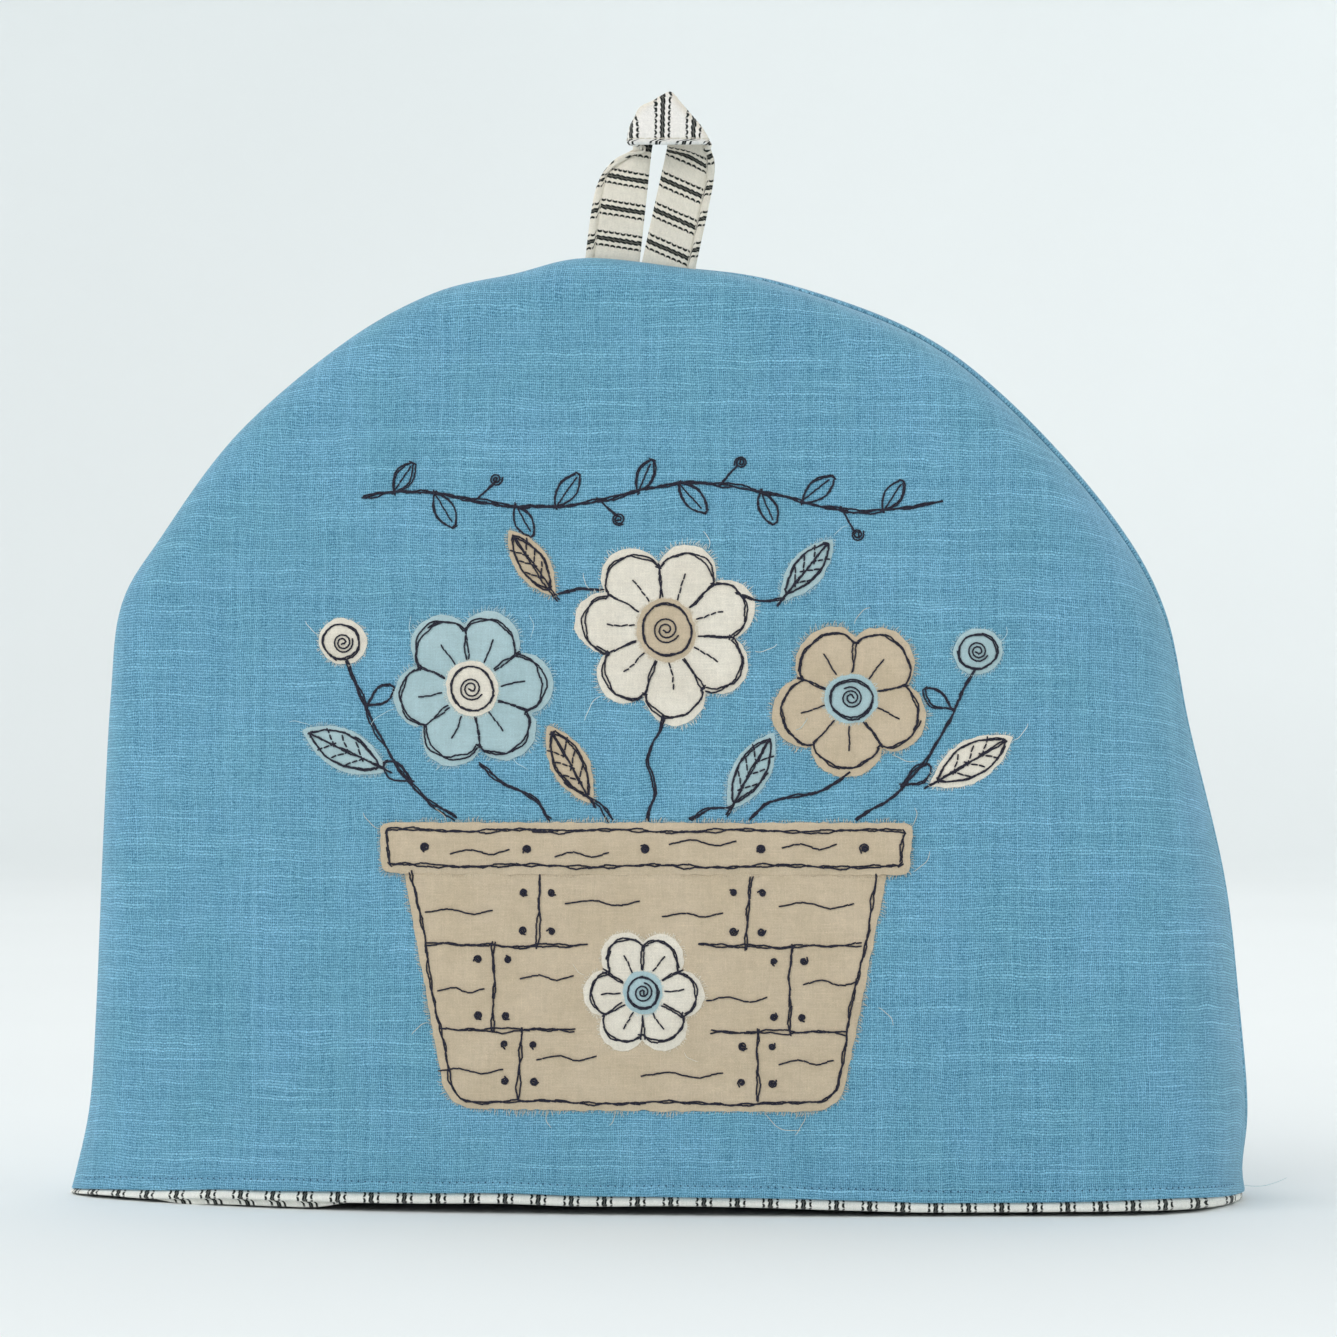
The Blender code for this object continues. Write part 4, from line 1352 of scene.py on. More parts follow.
@dataclass
class Panel:
    """One padded linen panel."""

    side: Side
    layout: PanelLayout
    thickness: float = 2.7
    grid_step: float = 0.75
    edge_reach: float = 0.05
    seam_shade_from: float = 12.0

    def flattened(self, flat: Array) -> Array:
        """Work out where points lie on the flat cloth.

        Args:
            flat: The points' x and z in the seam plane.

        Returns:
            Distances along the cloth from the middle of the panel and up from the hem.
        """
        step = self.grid_step
        xs = np.arange(-184.0, 184.0 + step, step)
        zs = np.arange(0.0, 292.0 + step, step)
        grid_x, grid_z = np.meshgrid(xs, zs)
        space = self.side.surface(grid_x.ravel(), grid_z.ravel(), fine=False)
        outside = (grid_x < SEAM.left(grid_z)) | (grid_x > SEAM.right(grid_z))
        depth = np.where(outside, 0.0, space[:, 1].reshape(grid_x.shape))
        across = np.hypot(step, np.diff(depth, axis=1))
        across = np.hstack((np.zeros((len(zs), 1)), np.cumsum(across, axis=1)))
        middle = across[:, np.abs(xs).argmin()][:, None]
        across = across - middle
        up = np.hypot(step, np.diff(depth, axis=0))
        up = np.vstack((np.zeros((1, len(xs))), np.cumsum(up, axis=0)))
        column = np.clip((flat[:, 0] - xs[0]) / step, 0, len(xs) - 1.001)
        row = np.clip((flat[:, 1] - zs[0]) / step, 0, len(zs) - 1.001)
        c, r = column.astype(int), row.astype(int)
        s, t = column - c, row - r
        result = []
        for table in (across, up):
            low = table[r, c] * (1 - s) + table[r, c + 1] * s
            high = table[r + 1, c] * (1 - s) + table[r + 1, c + 1] * s
            result.append(low * (1 - t) + high * t)
        return np.column_stack(result)

    def build(self, name: str, node: str, material: Material) -> Piece:
        """Build the panel and put it in its solid's place.

        Args:
            name: The piece's name.
            node: The solid that it stands for.
            material: Its finish.

        Returns:
            The piece.
        """
        flat, triangles = self.layout.flat, self.layout.triangles
        outer = self.side.surface(flat[:, 0], flat[:, 1])
        if self.side.way > 0.0:
            triangles = triangles[:, ::-1]
        normals = surface_normals(outer, triangles)
        distance, seam_normal, _ = SEAM.reach(flat[:, 0], flat[:, 1])
        on_seam = distance < self.edge_reach
        on_hem = flat[:, 1] < HEM.edge_at(flat[:, 0]) + self.edge_reach
        normals[on_seam] = np.insert(seam_normal[on_seam], 1, 0.0, axis=1)
        normals[on_hem, 2] = 0.0
        normals = unit(normals)
        inner = outer - normals * self.thickness
        way = self.side.way
        inner[:, 1] = way * np.maximum(way * inner[:, 1], self.side.seam_gap / 2.0)
        pattern = self.flattened(flat)
        piece = make_piece(
            name,
            np.vstack((outer, inner)),
            cloth_faces(len(outer), triangles),
            material,
            np.vstack((pattern, pattern)),
        )
        # Mark the seam's points above the hem, where the linen paints the shade of the seam's
        # valley
        store(piece.data, "seam", np.tile(on_seam & (flat[:, 1] > self.seam_shade_from), 2))
        stand_for(piece, node)
        width, length = np.ptp(pattern, axis=0)
        log_piece(piece, f"cut {width:.0f} x {length:.0f} mm")
        return piece


# The hem


@dataclass
class TickingHem:
    """Ticking band that shows as a narrow fold under the linen and turns up behind it."""

    panel_thickness: float = 3.0
    upstand: float = 20.0
    cloth: float = 1.0
    drop: float = 1.8
    drop_middle: float = -119.0
    drop_reach: float = 33.0
    stripe_pull: Table = (
        (0, -12.6), (20, -13), (45, -15.6), (75, -19.4), (110, -21.4), (150, -22.9),
        (220, -23.1), (335, -22.2), (348, -22.9), (358, -25.9), (372, -34.4), (384, -41.8),
        (400, -46.8),
    )

    def nearness(self, x: Array) -> Array:
        """Share of the full drop that the fold's inner layer has at each x."""
        return ease(2.2 * np.clip(1.0 - np.abs(x - self.drop_middle) / self.drop_reach, 0.0, 1.0))

    def loop_at(self, z: Array | float, inset: float, fall: float) -> Array:
        """Closed loop of points round the cosy.

        Args:
            z: Its height, or a height for each station.
            inset: How far it lies inside the outer surface.
            fall: Share of the inner layer's drop that it takes.

        Returns:
            The points, along the front from left to right and back along the back.
        """
        x = HEM.station_x(z)
        height = np.broadcast_to(z, len(x))
        front = FRONT.surface(x, height, seam_gap=0.0, fine=False)
        front[:, 2] -= self.drop * fall * self.nearness(x)
        back = BACK.surface(x, height, seam_gap=0.0, fine=False)[-2:0:-1]
        loop = np.vstack((front, back))
        ahead = np.roll(loop, -1, axis=0) - np.roll(loop, 1, axis=0)
        outward = unit(np.column_stack((ahead[:, 1], -ahead[:, 0], np.zeros(len(loop)))))
        return loop - outward * inset

    def profile(self) -> list[tuple[Array | float, float, float]]:
        """Rows of height, inset and fall, from under the linen round the fold and up inside."""
        foot = HEM.edge() - 0.12
        inside = self.panel_thickness + 0.95
        back = inside + self.cloth
        rows: list[tuple[Array | float, float, float]] = [(foot, 0.85, 0.0), (foot * 0.8, 0.4, 0.0)]
        rows += [(foot * 0.5, 0.05, 0.0), (foot * 0.28, -0.05, 0.0), (foot * 0.13, 0.12, 0.0)]
        rows += [(foot * 0.04, 0.45, 0.0), (0.0, 1.0, 0.0), (0.15, 1.9, 0.0), (0.1, 1.75, 0.4)]
        rows += [(0.0, 1.75, 0.85), (0.0, 2.1, 1.0), (0.0, 2.9, 1.0), (0.0, inside + 0.2, 1.0)]
        rows += [(0.25, inside + 0.8, 0.9), (0.9, back, 0.7), (6.0, back, 0.0), (12.0, back, 0.0)]
        rows += [(self.upstand - 0.3, back, 0.0), (self.upstand, inside + self.cloth * 0.5, 0.0)]
        rows += [(self.upstand - 0.3, inside, 0.0), (12.0, inside, 0.0), (foot + 1.0, inside, 0.0)]
        rows += [(foot, inside, 0.0)]
        return rows

    def build(self, material: Material) -> Piece:
        """Build the band and put it in its solid's place.

        Args:
            material: Its finish.

        Returns:
            The piece.
        """
        profile = self.profile()
        loops = [self.loop_at(*row) for row in profile]
        count = len(loops[0])
        run = run_length(np.vstack((loops[2], loops[2][:1])))
        mid = count // 3
        heights = [0.0]
        for before, after in zip(loops, loops[1:]):
            heights.append(heights[-1] + float(np.linalg.norm(after[mid] - before[mid])))
        points = np.vstack([np.vstack((loop, loop[:1])) for loop in loops])
        pull_at, pull = np.transpose(self.stripe_pull)
        striped = run + np.interp(run, pull_at, pull)
        ahead = unit(np.roll(loops[2], -1, axis=0) - np.roll(loops[2], 1, axis=0))
        pattern = []
        for loop, height, (_, _, fall) in zip(loops, heights, profile):
            slip = ((loop - loops[2]) * ahead).sum(axis=1)
            pulled = 1.4 * min(1.0, 2.0 * fall) * self.nearness(loop[:, 0])
            slip = slip - pulled * (loop[:, 1] < 0.0)
            stripes = striped + np.append(slip, slip[0])
            pattern.append(np.column_stack((stripes, np.full(count + 1, height))))
        pattern = np.vstack(pattern)
        faces = []
        row_count = len(loops)
        for row in range(row_count):
            following = (row + 1) % row_count
            for column in range(count):
                a, b = row * (count + 1) + column, row * (count + 1) + column + 1
                c, d = following * (count + 1) + column + 1, following * (count + 1) + column
                faces.append((a, d, c, b))
        piece = make_piece("hem_ticking", points, faces, material, pattern)
        merge_ends(piece)
        stand_for(piece, "hem_facing")
        log_piece(piece, f"{run[-1]:.0f} mm round")
        return piece


def merge_ends(piece: Piece) -> None:
    """Join the doubled points where a band closes on itself, each face keeping its own UV."""
    mesh = bmesh.new()
    mesh.from_mesh(piece.data)
    bmesh.ops.remove_doubles(mesh, verts=mesh.verts, dist=1e-7)
    bmesh.ops.recalc_face_normals(mesh, faces=mesh.faces)
    mesh.to_mesh(piece.data)
    mesh.free()


# The hanging loop


@dataclass
class HangingLoop:
    """Flat strip of ticking folded on two diagonals, its arms sewn in at the top of the seam."""

    width: float = 16.5
    fold_radius: float = 1.0
    base_x: float = -5.4
    base_z: float = 279.5
    apex_z: float = 329.7
    lean: float = 0.165
    curl_reach: float = 3.0
    arm_closing: float = 1.9
    thickness: float = 1.3
    edge_stitch: float = 2.6
    tuck: float = 2.5
    roll: float = 2.55
    roll_radius: float = 0.7
    flap_lean: float = 8.6
    peak: float = 1.1
    neck_depth: float = 2.2
    neck_height: float = 12.4
    neck_reach: float = 2.6
    flat_left: float = 6.3
    flat_right: float = 11.0
    curl_left: float = 3.0
    curl_right: float = 5.0
    most_curl: float = 2.4

    def surface(self, along: Array, across: Array) -> Array:
        """Place points of the strip.

        Args:
            along: Distance along the strip from the middle of its front.
            across: Distance across it, from its outer edge.

        Returns:
            The points in space, on the strip's middle layer.
        """
        sign = np.where(along < 0.0, -1.0, 1.0)
        run = np.abs(along)
        past = (run + across - self.width) / math.sqrt(2.0)
        angle = np.clip(past / self.fold_radius, 0.0, math.pi)
        behind = np.maximum(past - math.pi * self.fold_radius, 0.0)
        out = np.minimum(past, 0.0) + self.fold_radius * np.sin(angle) - behind
        x = sign * (run - past / math.sqrt(2.0) + out / math.sqrt(2.0))
        z = across - past / math.sqrt(2.0) + out / math.sqrt(2.0)
        inward = self.fold_radius * (1.0 - np.cos(angle))
        under = np.clip(self.roll - across, 0.0, None)
        turn = np.minimum(under / self.roll_radius, math.pi)
        rolled_z = self.roll - self.roll_radius * np.sin(turn)
        rolled_z = rolled_z + np.maximum(under - math.pi * self.roll_radius, 0.0)
        front = ease((self.width + 1.0 - run) / 3.0) * (across < self.roll)
        z = z + front * (rolled_z - across)
        inward = inward + front * self.roll_radius * (1.0 - np.cos(turn))
        forward = 1.0 - np.clip(z / self.width, 0.0, 1.0)
        leaning = self.flap_lean * forward * ease(1.0 - np.maximum(past, 0.0) / 9.0)
        near_tip = ease((across - self.width + 4.0) / 4.0)
        z = z + self.peak * np.exp(-(((x - 0.4) / 1.5) ** 2)) * near_tip
        arm_height = self.apex_z - self.width - self.base_z
        x = x - sign * self.arm_closing * np.clip(-z / arm_height, 0.0, 1.0)
        neck = self.neck_depth * np.exp(-(((z - self.neck_height) / self.neck_reach) ** 2))
        x = x - neck * np.clip((-x - self.neck_reach) / self.neck_reach, 0.0, 1.0)
        left = x < 0.0
        flat = np.where(left, self.flat_left, self.flat_right)
        radius = np.where(left, self.curl_left, self.curl_right)
        radius = radius * np.exp((np.maximum(-z, 0.0) / self.curl_reach) ** 0.7)
        beyond = np.maximum(np.abs(x) - flat, 0.0)
        bend = np.minimum(beyond / radius, self.most_curl)
        rest = beyond - bend * radius
        wide = np.minimum(np.abs(x), flat) + (radius - inward) * np.sin(bend) + rest * np.cos(bend)
        curled_x = np.where(left, -wide, wide)
        curled_y = inward * np.cos(bend) + radius * (1.0 - np.cos(bend)) + rest * np.sin(bend)
        y = curled_y - 2.0 * self.fold_radius - leaning
        world_z = z + self.apex_z - self.width
        lean = self.lean * (world_z - self.base_z)
        return np.column_stack((self.base_x + lean + curled_x, y, world_z))

    def arm_end(self, across: Array, sign: float) -> Array:
        """Distance along the strip where an arm goes into the seam."""
        fold = math.pi * self.fold_radius / math.sqrt(2.0)
        along = np.full(len(across), self.width + fold + 30.0)
        for _ in range(12):
            point = self.surface(sign * along, across)
            seam_z = np.interp(point[:, 0], SEAM.line[:, 0], SEAM.line[:, 1])
            along = along + point[:, 2] - seam_z + self.tuck
        return along

    def build(self, material: Material) -> Piece:
        """Build the strip and put it in its solid's place.

        Args:
            material: Its finish.

        Returns:
            The piece.
        """
        across = self.across_steps()
        head = self.width + 2.0 * math.pi * self.fold_radius
        left, right = self.arm_end(across, -1.0), self.arm_end(across, 1.0)
        rows = [-(head + (left - head) * share) for share in np.linspace(1.0, 0.0, 30)[:-1]]
        rows += [np.full(len(across), along) for along in np.linspace(-head, head, 121)]
        rows += [head + (right - head) * share for share in np.linspace(0.0, 1.0, 30)[1:]]
        middle = np.array([self.surface(row, across) for row in rows])
        normal = np.cross(np.gradient(middle, axis=0), np.gradient(middle, axis=1))
        normal /= np.linalg.norm(normal, axis=2)[..., None]
        from_outer, from_inner = across, self.width - across
        channel = np.exp(-(((from_outer - self.edge_stitch) / 0.5) ** 2))
        edge = np.minimum(from_outer, from_inner)
        full = np.sqrt(np.clip(edge / 0.7, 0.0, 1.0))
        puff = 1.0 + 0.35 * np.exp(-(((from_outer - 1.2) / 0.9) ** 2)) - 0.45 * channel
        half = normal * (self.thickness / 2.0 * np.maximum(full * puff, 0.12))[None, :, None]
        columns = len(across)
        a = (np.arange(len(rows) - 1)[:, None] * columns + np.arange(columns - 1)).ravel()
        triangles = np.vstack((
            np.column_stack((a, a + 1, a + columns + 1)),
            np.column_stack((a, a + columns + 1, a + columns)),
        ))
        outer = (middle + half).reshape(-1, 3)
        inner = (middle - half).reshape(-1, 3)
        along = np.array(rows)
        hook = 1.0 * np.clip(1.0 - from_outer / (self.edge_stitch - 0.2), 0.0, 1.0) ** 0.5
        hook = np.where(from_outer < self.edge_stitch - 0.2, hook + 1.0, 0.0)
        left_arm = along < 0.0
        slant = np.where(left_arm, 0.16, 0.40) * np.clip((np.abs(along) - 12.0) / 8.0, 0.0, 1.0)
        slip = np.where(left_arm, 3.7, 0.6) * ease((np.abs(along) - 11.0) / 7.0)
        upright = self.lean * ease((14.0 - np.abs(along)) / 3.0)
        upright = upright * (across - self.width / 2.0)[None, :]
        shifted = along + slip + upright + slant * across[None, :]
        shifted = shifted + hook[None, :] * np.where(left_arm, 1.0, 1.9)
        pattern = np.column_stack((shifted.ravel(), np.broadcast_to(across, along.shape).ravel()))
        piece = make_piece(
            "loop_strip", np.vstack((outer, inner)), cloth_faces(len(outer), triangles), material,
            np.vstack((pattern, pattern + (3.1, 0.0))), crease_degrees=75.0,
        )
        # Share of the strip on its flap, which the ticking paints paler as light falling from above
        flap = ease(0.5 - (np.abs(along) + across[None, :] - self.width) / 3.0)
        store(piece.data, "faded", np.tile(flap.ravel(), 2))
        stand_for(piece, "hanging_loop")
        length = float(np.mean(left) + np.mean(right))
        log_piece(piece, f"strip {length:.0f} mm long")
        return piece

    def across_steps(self) -> Array:
        """Distances across the strip, closer together at its edges and at its stitching."""
        edge = [0.0, 0.1, 0.3, 0.7, 1.2, 1.7, 2.1, 2.45, 2.5, 2.9, 3.2, 3.7]
        middle = np.linspace(4.5, self.width - 1.2, 13)
        return np.array([*edge, *middle, *(self.width - inset for inset in (0.7, 0.3, 0.1, 0.0))])

    def stitch_lines(self) -> list[tuple[Array, Array]]:
        """Lines of edge stitching on the strip's two faces, with the normals there."""
        lines = []
        end = float(np.mean(self.arm_end(np.array([self.edge_stitch]), 1.0))) - 1.0
        along = np.linspace(-end, end, 240)
        across = np.full(len(along), self.edge_stitch)
        middle = self.surface(along, across)
        ahead = np.gradient(middle, axis=0)
        sideways = self.surface(along, across + 0.2) - self.surface(along, across - 0.2)
        normal = unit(np.cross(ahead, sideways))
        for way in (1.0, -1.0):
            lines.append((middle + normal * way * self.thickness * 0.42, normal * way))
        return lines


# The patches


@dataclass
class Patch:
    """One raw-edged cloth patch of the front."""

    name: str
    cloth: Cloth
    outline: Array
    layer: int
    stitch_inset: float = 2.3

    def height(self, flat: Array) -> Array:
        """Height of the patch's face above the linen at flat points, minus one outside it."""
        inside = inside_outline(flat, self.outline)
        distance = outline_distance(flat, self.outline)
        swell = 0.30 + 0.5 * ease(distance / 2.2)
        dip = 0.22 * np.exp(-(((distance - self.stitch_inset) / 0.7) ** 2))
        crease = 0.10 * np.sin(flat[:, 0] / 3.9 + 1.8 * np.sin(flat[:, 1] / 7.3 + self.layer))
        crease = crease * np.sin(flat[:, 1] / 5.1 + 1.3 * np.sin(flat[:, 0] / 9.0))
        crease = crease * ease(distance / 5.0)
        return np.where(inside, self.layer * LAYER_RISE + swell - dip + crease, -1.0)


class FlowerBox:
    """The sewn picture of the front: a planter with flowers, leaves and buds."""

    planter = {"x": -2, "bottom": 30, "top": 106, "half_bottom": 57, "half_top": 72}
    band = {"x": -2, "bottom": 98, "top": 113, "half_bottom": 77, "half_top": 78}
    flowers = (
        ("flower_left", -53, 152, 24, 6, 8, 0, Cloth.PALE_BLUE),
        ("flower_middle", 4, 169, 27, 7, 20, 0, Cloth.CREAM),
        ("flower_right", 58, 149, 23, 5, 50, 0, Cloth.BEIGE),
        ("flower_planter", -2, 64, 18, 6, 0, 1, Cloth.CREAM),
    )
    discs = (
        ("centre_left", -53, 152, 8, 1, Cloth.CREAM),
        ("centre_middle", 4, 169, 9, 1, Cloth.BEIGE),
        ("centre_right", 58, 149, 7.5, 1, Cloth.PALE_BLUE),
        ("centre_planter", -2, 64, 6, 2, Cloth.PALE_BLUE),
        ("bud_left", -92, 166, 7, 0, Cloth.CREAM),
        ("bud_right", 95, 163, 7, 0, Cloth.PALE_BLUE),
    )
    leaves = (
        ("leaf_1", -91, 134, 14, 6, 155, 0, Cloth.PALE_BLUE),
        ("leaf_2", -24, 130, 13, 5.5, 120, 0, Cloth.BEIGE),
        ("leaf_3", 29, 128, 13, 5.5, 60, 0, Cloth.PALE_BLUE),
        ("leaf_4", 93, 131, 14, 6, 30, 0, Cloth.CREAM),
        ("leaf_5", -36, 189, 12, 5, 125, 0, Cloth.BEIGE),
        ("leaf_6", 45, 187, 12, 5, 50, 0, Cloth.PALE_BLUE),
    )

    fray_allowance = 0.6
    cloth_thickness = 0.28
    border_step = 0.75
    raggedness = 0.13
    grid_step = 2.2
    fray_step = 0.42

    def __init__(self, palette: Palette) -> None:
        """Lay out the patches.

        Args:
            palette: The finishes.
        """
        self.palette = palette
        self.patches: list[Patch] = []
        self.rng = np.random.default_rng(20)
        self.patches.append(Patch("planter", Cloth.BEIGE, self.tub(self.planter, 9.0), 0))
        self.patches.append(Patch("planter_band", Cloth.BEIGE, self.tub(self.band, 3.0), 1))
        for name, x, z, radius, petals, turn, layer, cloth in self.flowers:
            self.patches.append(Patch(name, cloth, self.flower(x, z, radius, petals, turn), layer))
        for name, x, z, radius, layer, cloth in self.discs:
            outline = self.disc(x, z, radius)
            self.patches.append(Patch(name, cloth, outline, layer, stitch_inset=1.7))
        for name, x, z, half_length, half_width, turn, layer, cloth in self.leaves:
            outline = self.leaf(x, z, half_length, half_width, turn)
            self.patches.append(Patch(name, cloth, outline, layer, stitch_inset=1.6))

    @staticmethod
    def tub(shape: dict[str, float], corner: float) -> Array:
        """Outline of a strip or tub with sloping ends and rounded corners."""
        corners = (
            (shape["x"] - shape["half_bottom"], shape["bottom"]),
            (shape["x"] + shape["half_bottom"], shape["bottom"]),
            (shape["x"] + shape["half_top"], shape["top"]),
            (shape["x"] - shape["half_top"], shape["top"]),
        )
        return evened(rounded_corners(corners, corner), 1.5)

    @staticmethod
    def flower(
        x: float, z: float, radius: float, petals: int, turn: float, notch: float = 0.26
    ) -> Array:
        """Outline of a flower head with round petals, slightly uneven as if cut by hand."""
        angle = np.linspace(0.0, 2.0 * math.pi, petals * 40, endpoint=False)
        petal = np.abs(np.cos(petals * angle / 2.0)) ** 0.7
        wobble = 0.025 * np.sin(2.0 * angle + x) + 0.025 * np.cos(3.0 * angle + z)
        reach = radius * (1.0 - notch + notch * petal + wobble)
        turned = angle + math.radians(turn)
        shape = np.column_stack((x + reach * np.cos(turned), z + reach * np.sin(turned)))
        return evened(shape, 0.9)

    @staticmethod
    def disc(x: float, z: float, radius: float) -> Array:
        """Outline of a small round patch, slightly uneven."""
        angle = np.linspace(0.0, 2.0 * math.pi, 60, endpoint=False)
        reach = radius * (1.0 + 0.05 * np.sin(2.0 * angle + x))
        return np.column_stack((x + reach * np.cos(angle), z + reach * np.sin(angle)))

    @staticmethod
    def leaf(x: float, z: float, half_length: float, half_width: float, turn: float) -> Array:
        """Outline of a pointed leaf about its middle."""
        along = np.linspace(-1.0, 1.0, 41)
        edge = half_width * np.cos(along * math.pi / 2.0) ** 0.8
        upper = np.column_stack((along * half_length, edge))
        lower = np.column_stack((along * half_length, -edge))[-2:0:-1]
        shape = np.vstack((upper[::-1], lower[::-1]))
        cos_turn, sin_turn = math.cos(math.radians(turn)), math.sin(math.radians(turn))
        turned = np.column_stack((
            x + shape[:, 0] * cos_turn - shape[:, 1] * sin_turn,
            z + shape[:, 0] * sin_turn + shape[:, 1] * cos_turn,
        ))
        return turned if outline_area(turned) > 0.0 else turned[::-1]

    def height(self, flat: Array) -> Array:
        """Height of the topmost cloth above the linen at flat points."""
        height = np.zeros(len(flat))
        for patch in self.patches:
            low, high = patch.outline.min(axis=0) - 1.0, patch.outline.max(axis=0) + 1.0
            near = ((flat > low) & (flat < high)).all(axis=1)
            if near.any():
                height[near] = np.maximum(height[near], patch.height(flat[near]))
        return height

    def build_patch(self, patch: Patch) -> Piece:
        """Build one patch as thin cloth and put it in its solid's place.

        Args:
            patch: The patch.

        Returns:
            The piece.
        """
        border = evened(patch.outline, self.border_step)
        ragged = self.rng.normal(0.0, self.raggedness, len(border))
        ragged = np.concatenate((ragged[-1:], ragged, ragged[:1]))
        ragged = np.convolve(ragged, (0.25, 0.5, 0.25), "valid")
        border = border + outline_normals(border) * (ragged * 1.4)[:, None]
        rings = [border]
        for inset in (0.8, 1.7):
            ring = evened(patch.outline, 1.3)
            ring = ring - outline_normals(ring) * inset
            clear = outline_distance(ring, patch.outline) > inset * 0.85
            rings.append(ring[clear & inside_outline(ring, patch.outline)])
        low, high = patch.outline.min(axis=0), patch.outline.max(axis=0)
        step = self.grid_step
        columns = np.arange(low[0], high[0], step)
        grid_x, grid_z = np.meshgrid(columns, np.arange(low[1], high[1], step * 0.866))
        grid_x = grid_x + (np.arange(len(grid_x)) % 2)[:, None] * step / 2.0
        grid = np.column_stack((grid_x.ravel(), grid_z.ravel()))
        grid = grid[inside_outline(grid, patch.outline)]
        grid = grid[outline_distance(grid, patch.outline) > 2.7]
        flat, triangles = triangulate(np.vstack((*rings, grid)), [list(range(len(border)))])
        face = np.maximum(patch.height(flat), patch.layer * LAYER_RISE + 0.3)
        outer, normal = FRONT.placed(flat, face)
        inner = outer - normal * self.cloth_thickness
        facing = surface_normals(outer, triangles)
        if float((facing * normal).sum()) < 0.0:
            triangles = triangles[:, ::-1]
        pattern = flat + (patch.layer * 37.0, 0.0)
        piece = make_piece(
            f"{patch.name}_cloth", np.vstack((outer, inner)), cloth_faces(len(outer), triangles),
            self.palette.patches[patch.cloth], np.vstack((pattern, pattern)), crease_degrees=75.0,
        )
        stand_for(piece, patch.name)
        return piece

    def fringe(self, cloth: Cloth, tree: FringeTree) -> Piece:
        """Grow the frayed thread ends of every patch of one cloth.

        Args:
            cloth: Which cloth.
            tree: The tree that plants the threads.

        Returns:
            The piece.
        """
        points, outs, ups, reaches = [], [], [], []
        for patch in self.patches:
            if patch.cloth is not cloth:
                continue
            border = evened(patch.outline, self.fray_step)
            out = outline_normals(border)
            number = np.arange(len(border))
            patchy = 0.5 + 0.5 * np.sin(number / 9.0 + 2.0 * np.sin(number / 23.0))
            keep = self.rng.random(len(border)) < 0.45 + 0.5 * patchy
            border, out, patchy = border[keep], out[keep], patchy[keep]
            height = np.full(len(border), patch.layer * LAYER_RISE + 0.2)
            place, up = FRONT.placed(border, height)
            tip, _ = FRONT.placed(border + out, height * 0.6)
            points.append(place)
            outs.append(unit(tip - place))
            ups.append(up)
            small = 0.7 if patch.stitch_inset < 2.0 else 1.0
            reaches.append((0.7 + 1.3 * patchy**2 + 0.5 * self.rng.random(len(border))) * small)
        stacked = (np.vstack(part) for part in (points, outs, ups))
        source = point_source("fray_points", *stacked, np.concatenate(reaches))
        return tree.grow(
            f"{cloth.name.lower()}_fringe", source, self.palette.frays[cloth], "frayed edges",
            cloth.value, Seed=4, Spread=0.55,
        )

    def build(self) -> list[Piece]:
        """Build every patch and its frayed edge.

        Returns:
            The pieces.
        """
        pieces = []
        for patch in self.patches:
            piece = self.build_patch(patch)
            pieces.append(piece)
        LOG.info("%d patches", len(pieces))
        tree = FringeTree()
        pieces += [self.fringe(cloth, tree) for cloth in Cloth]
        return pieces


# Stitching


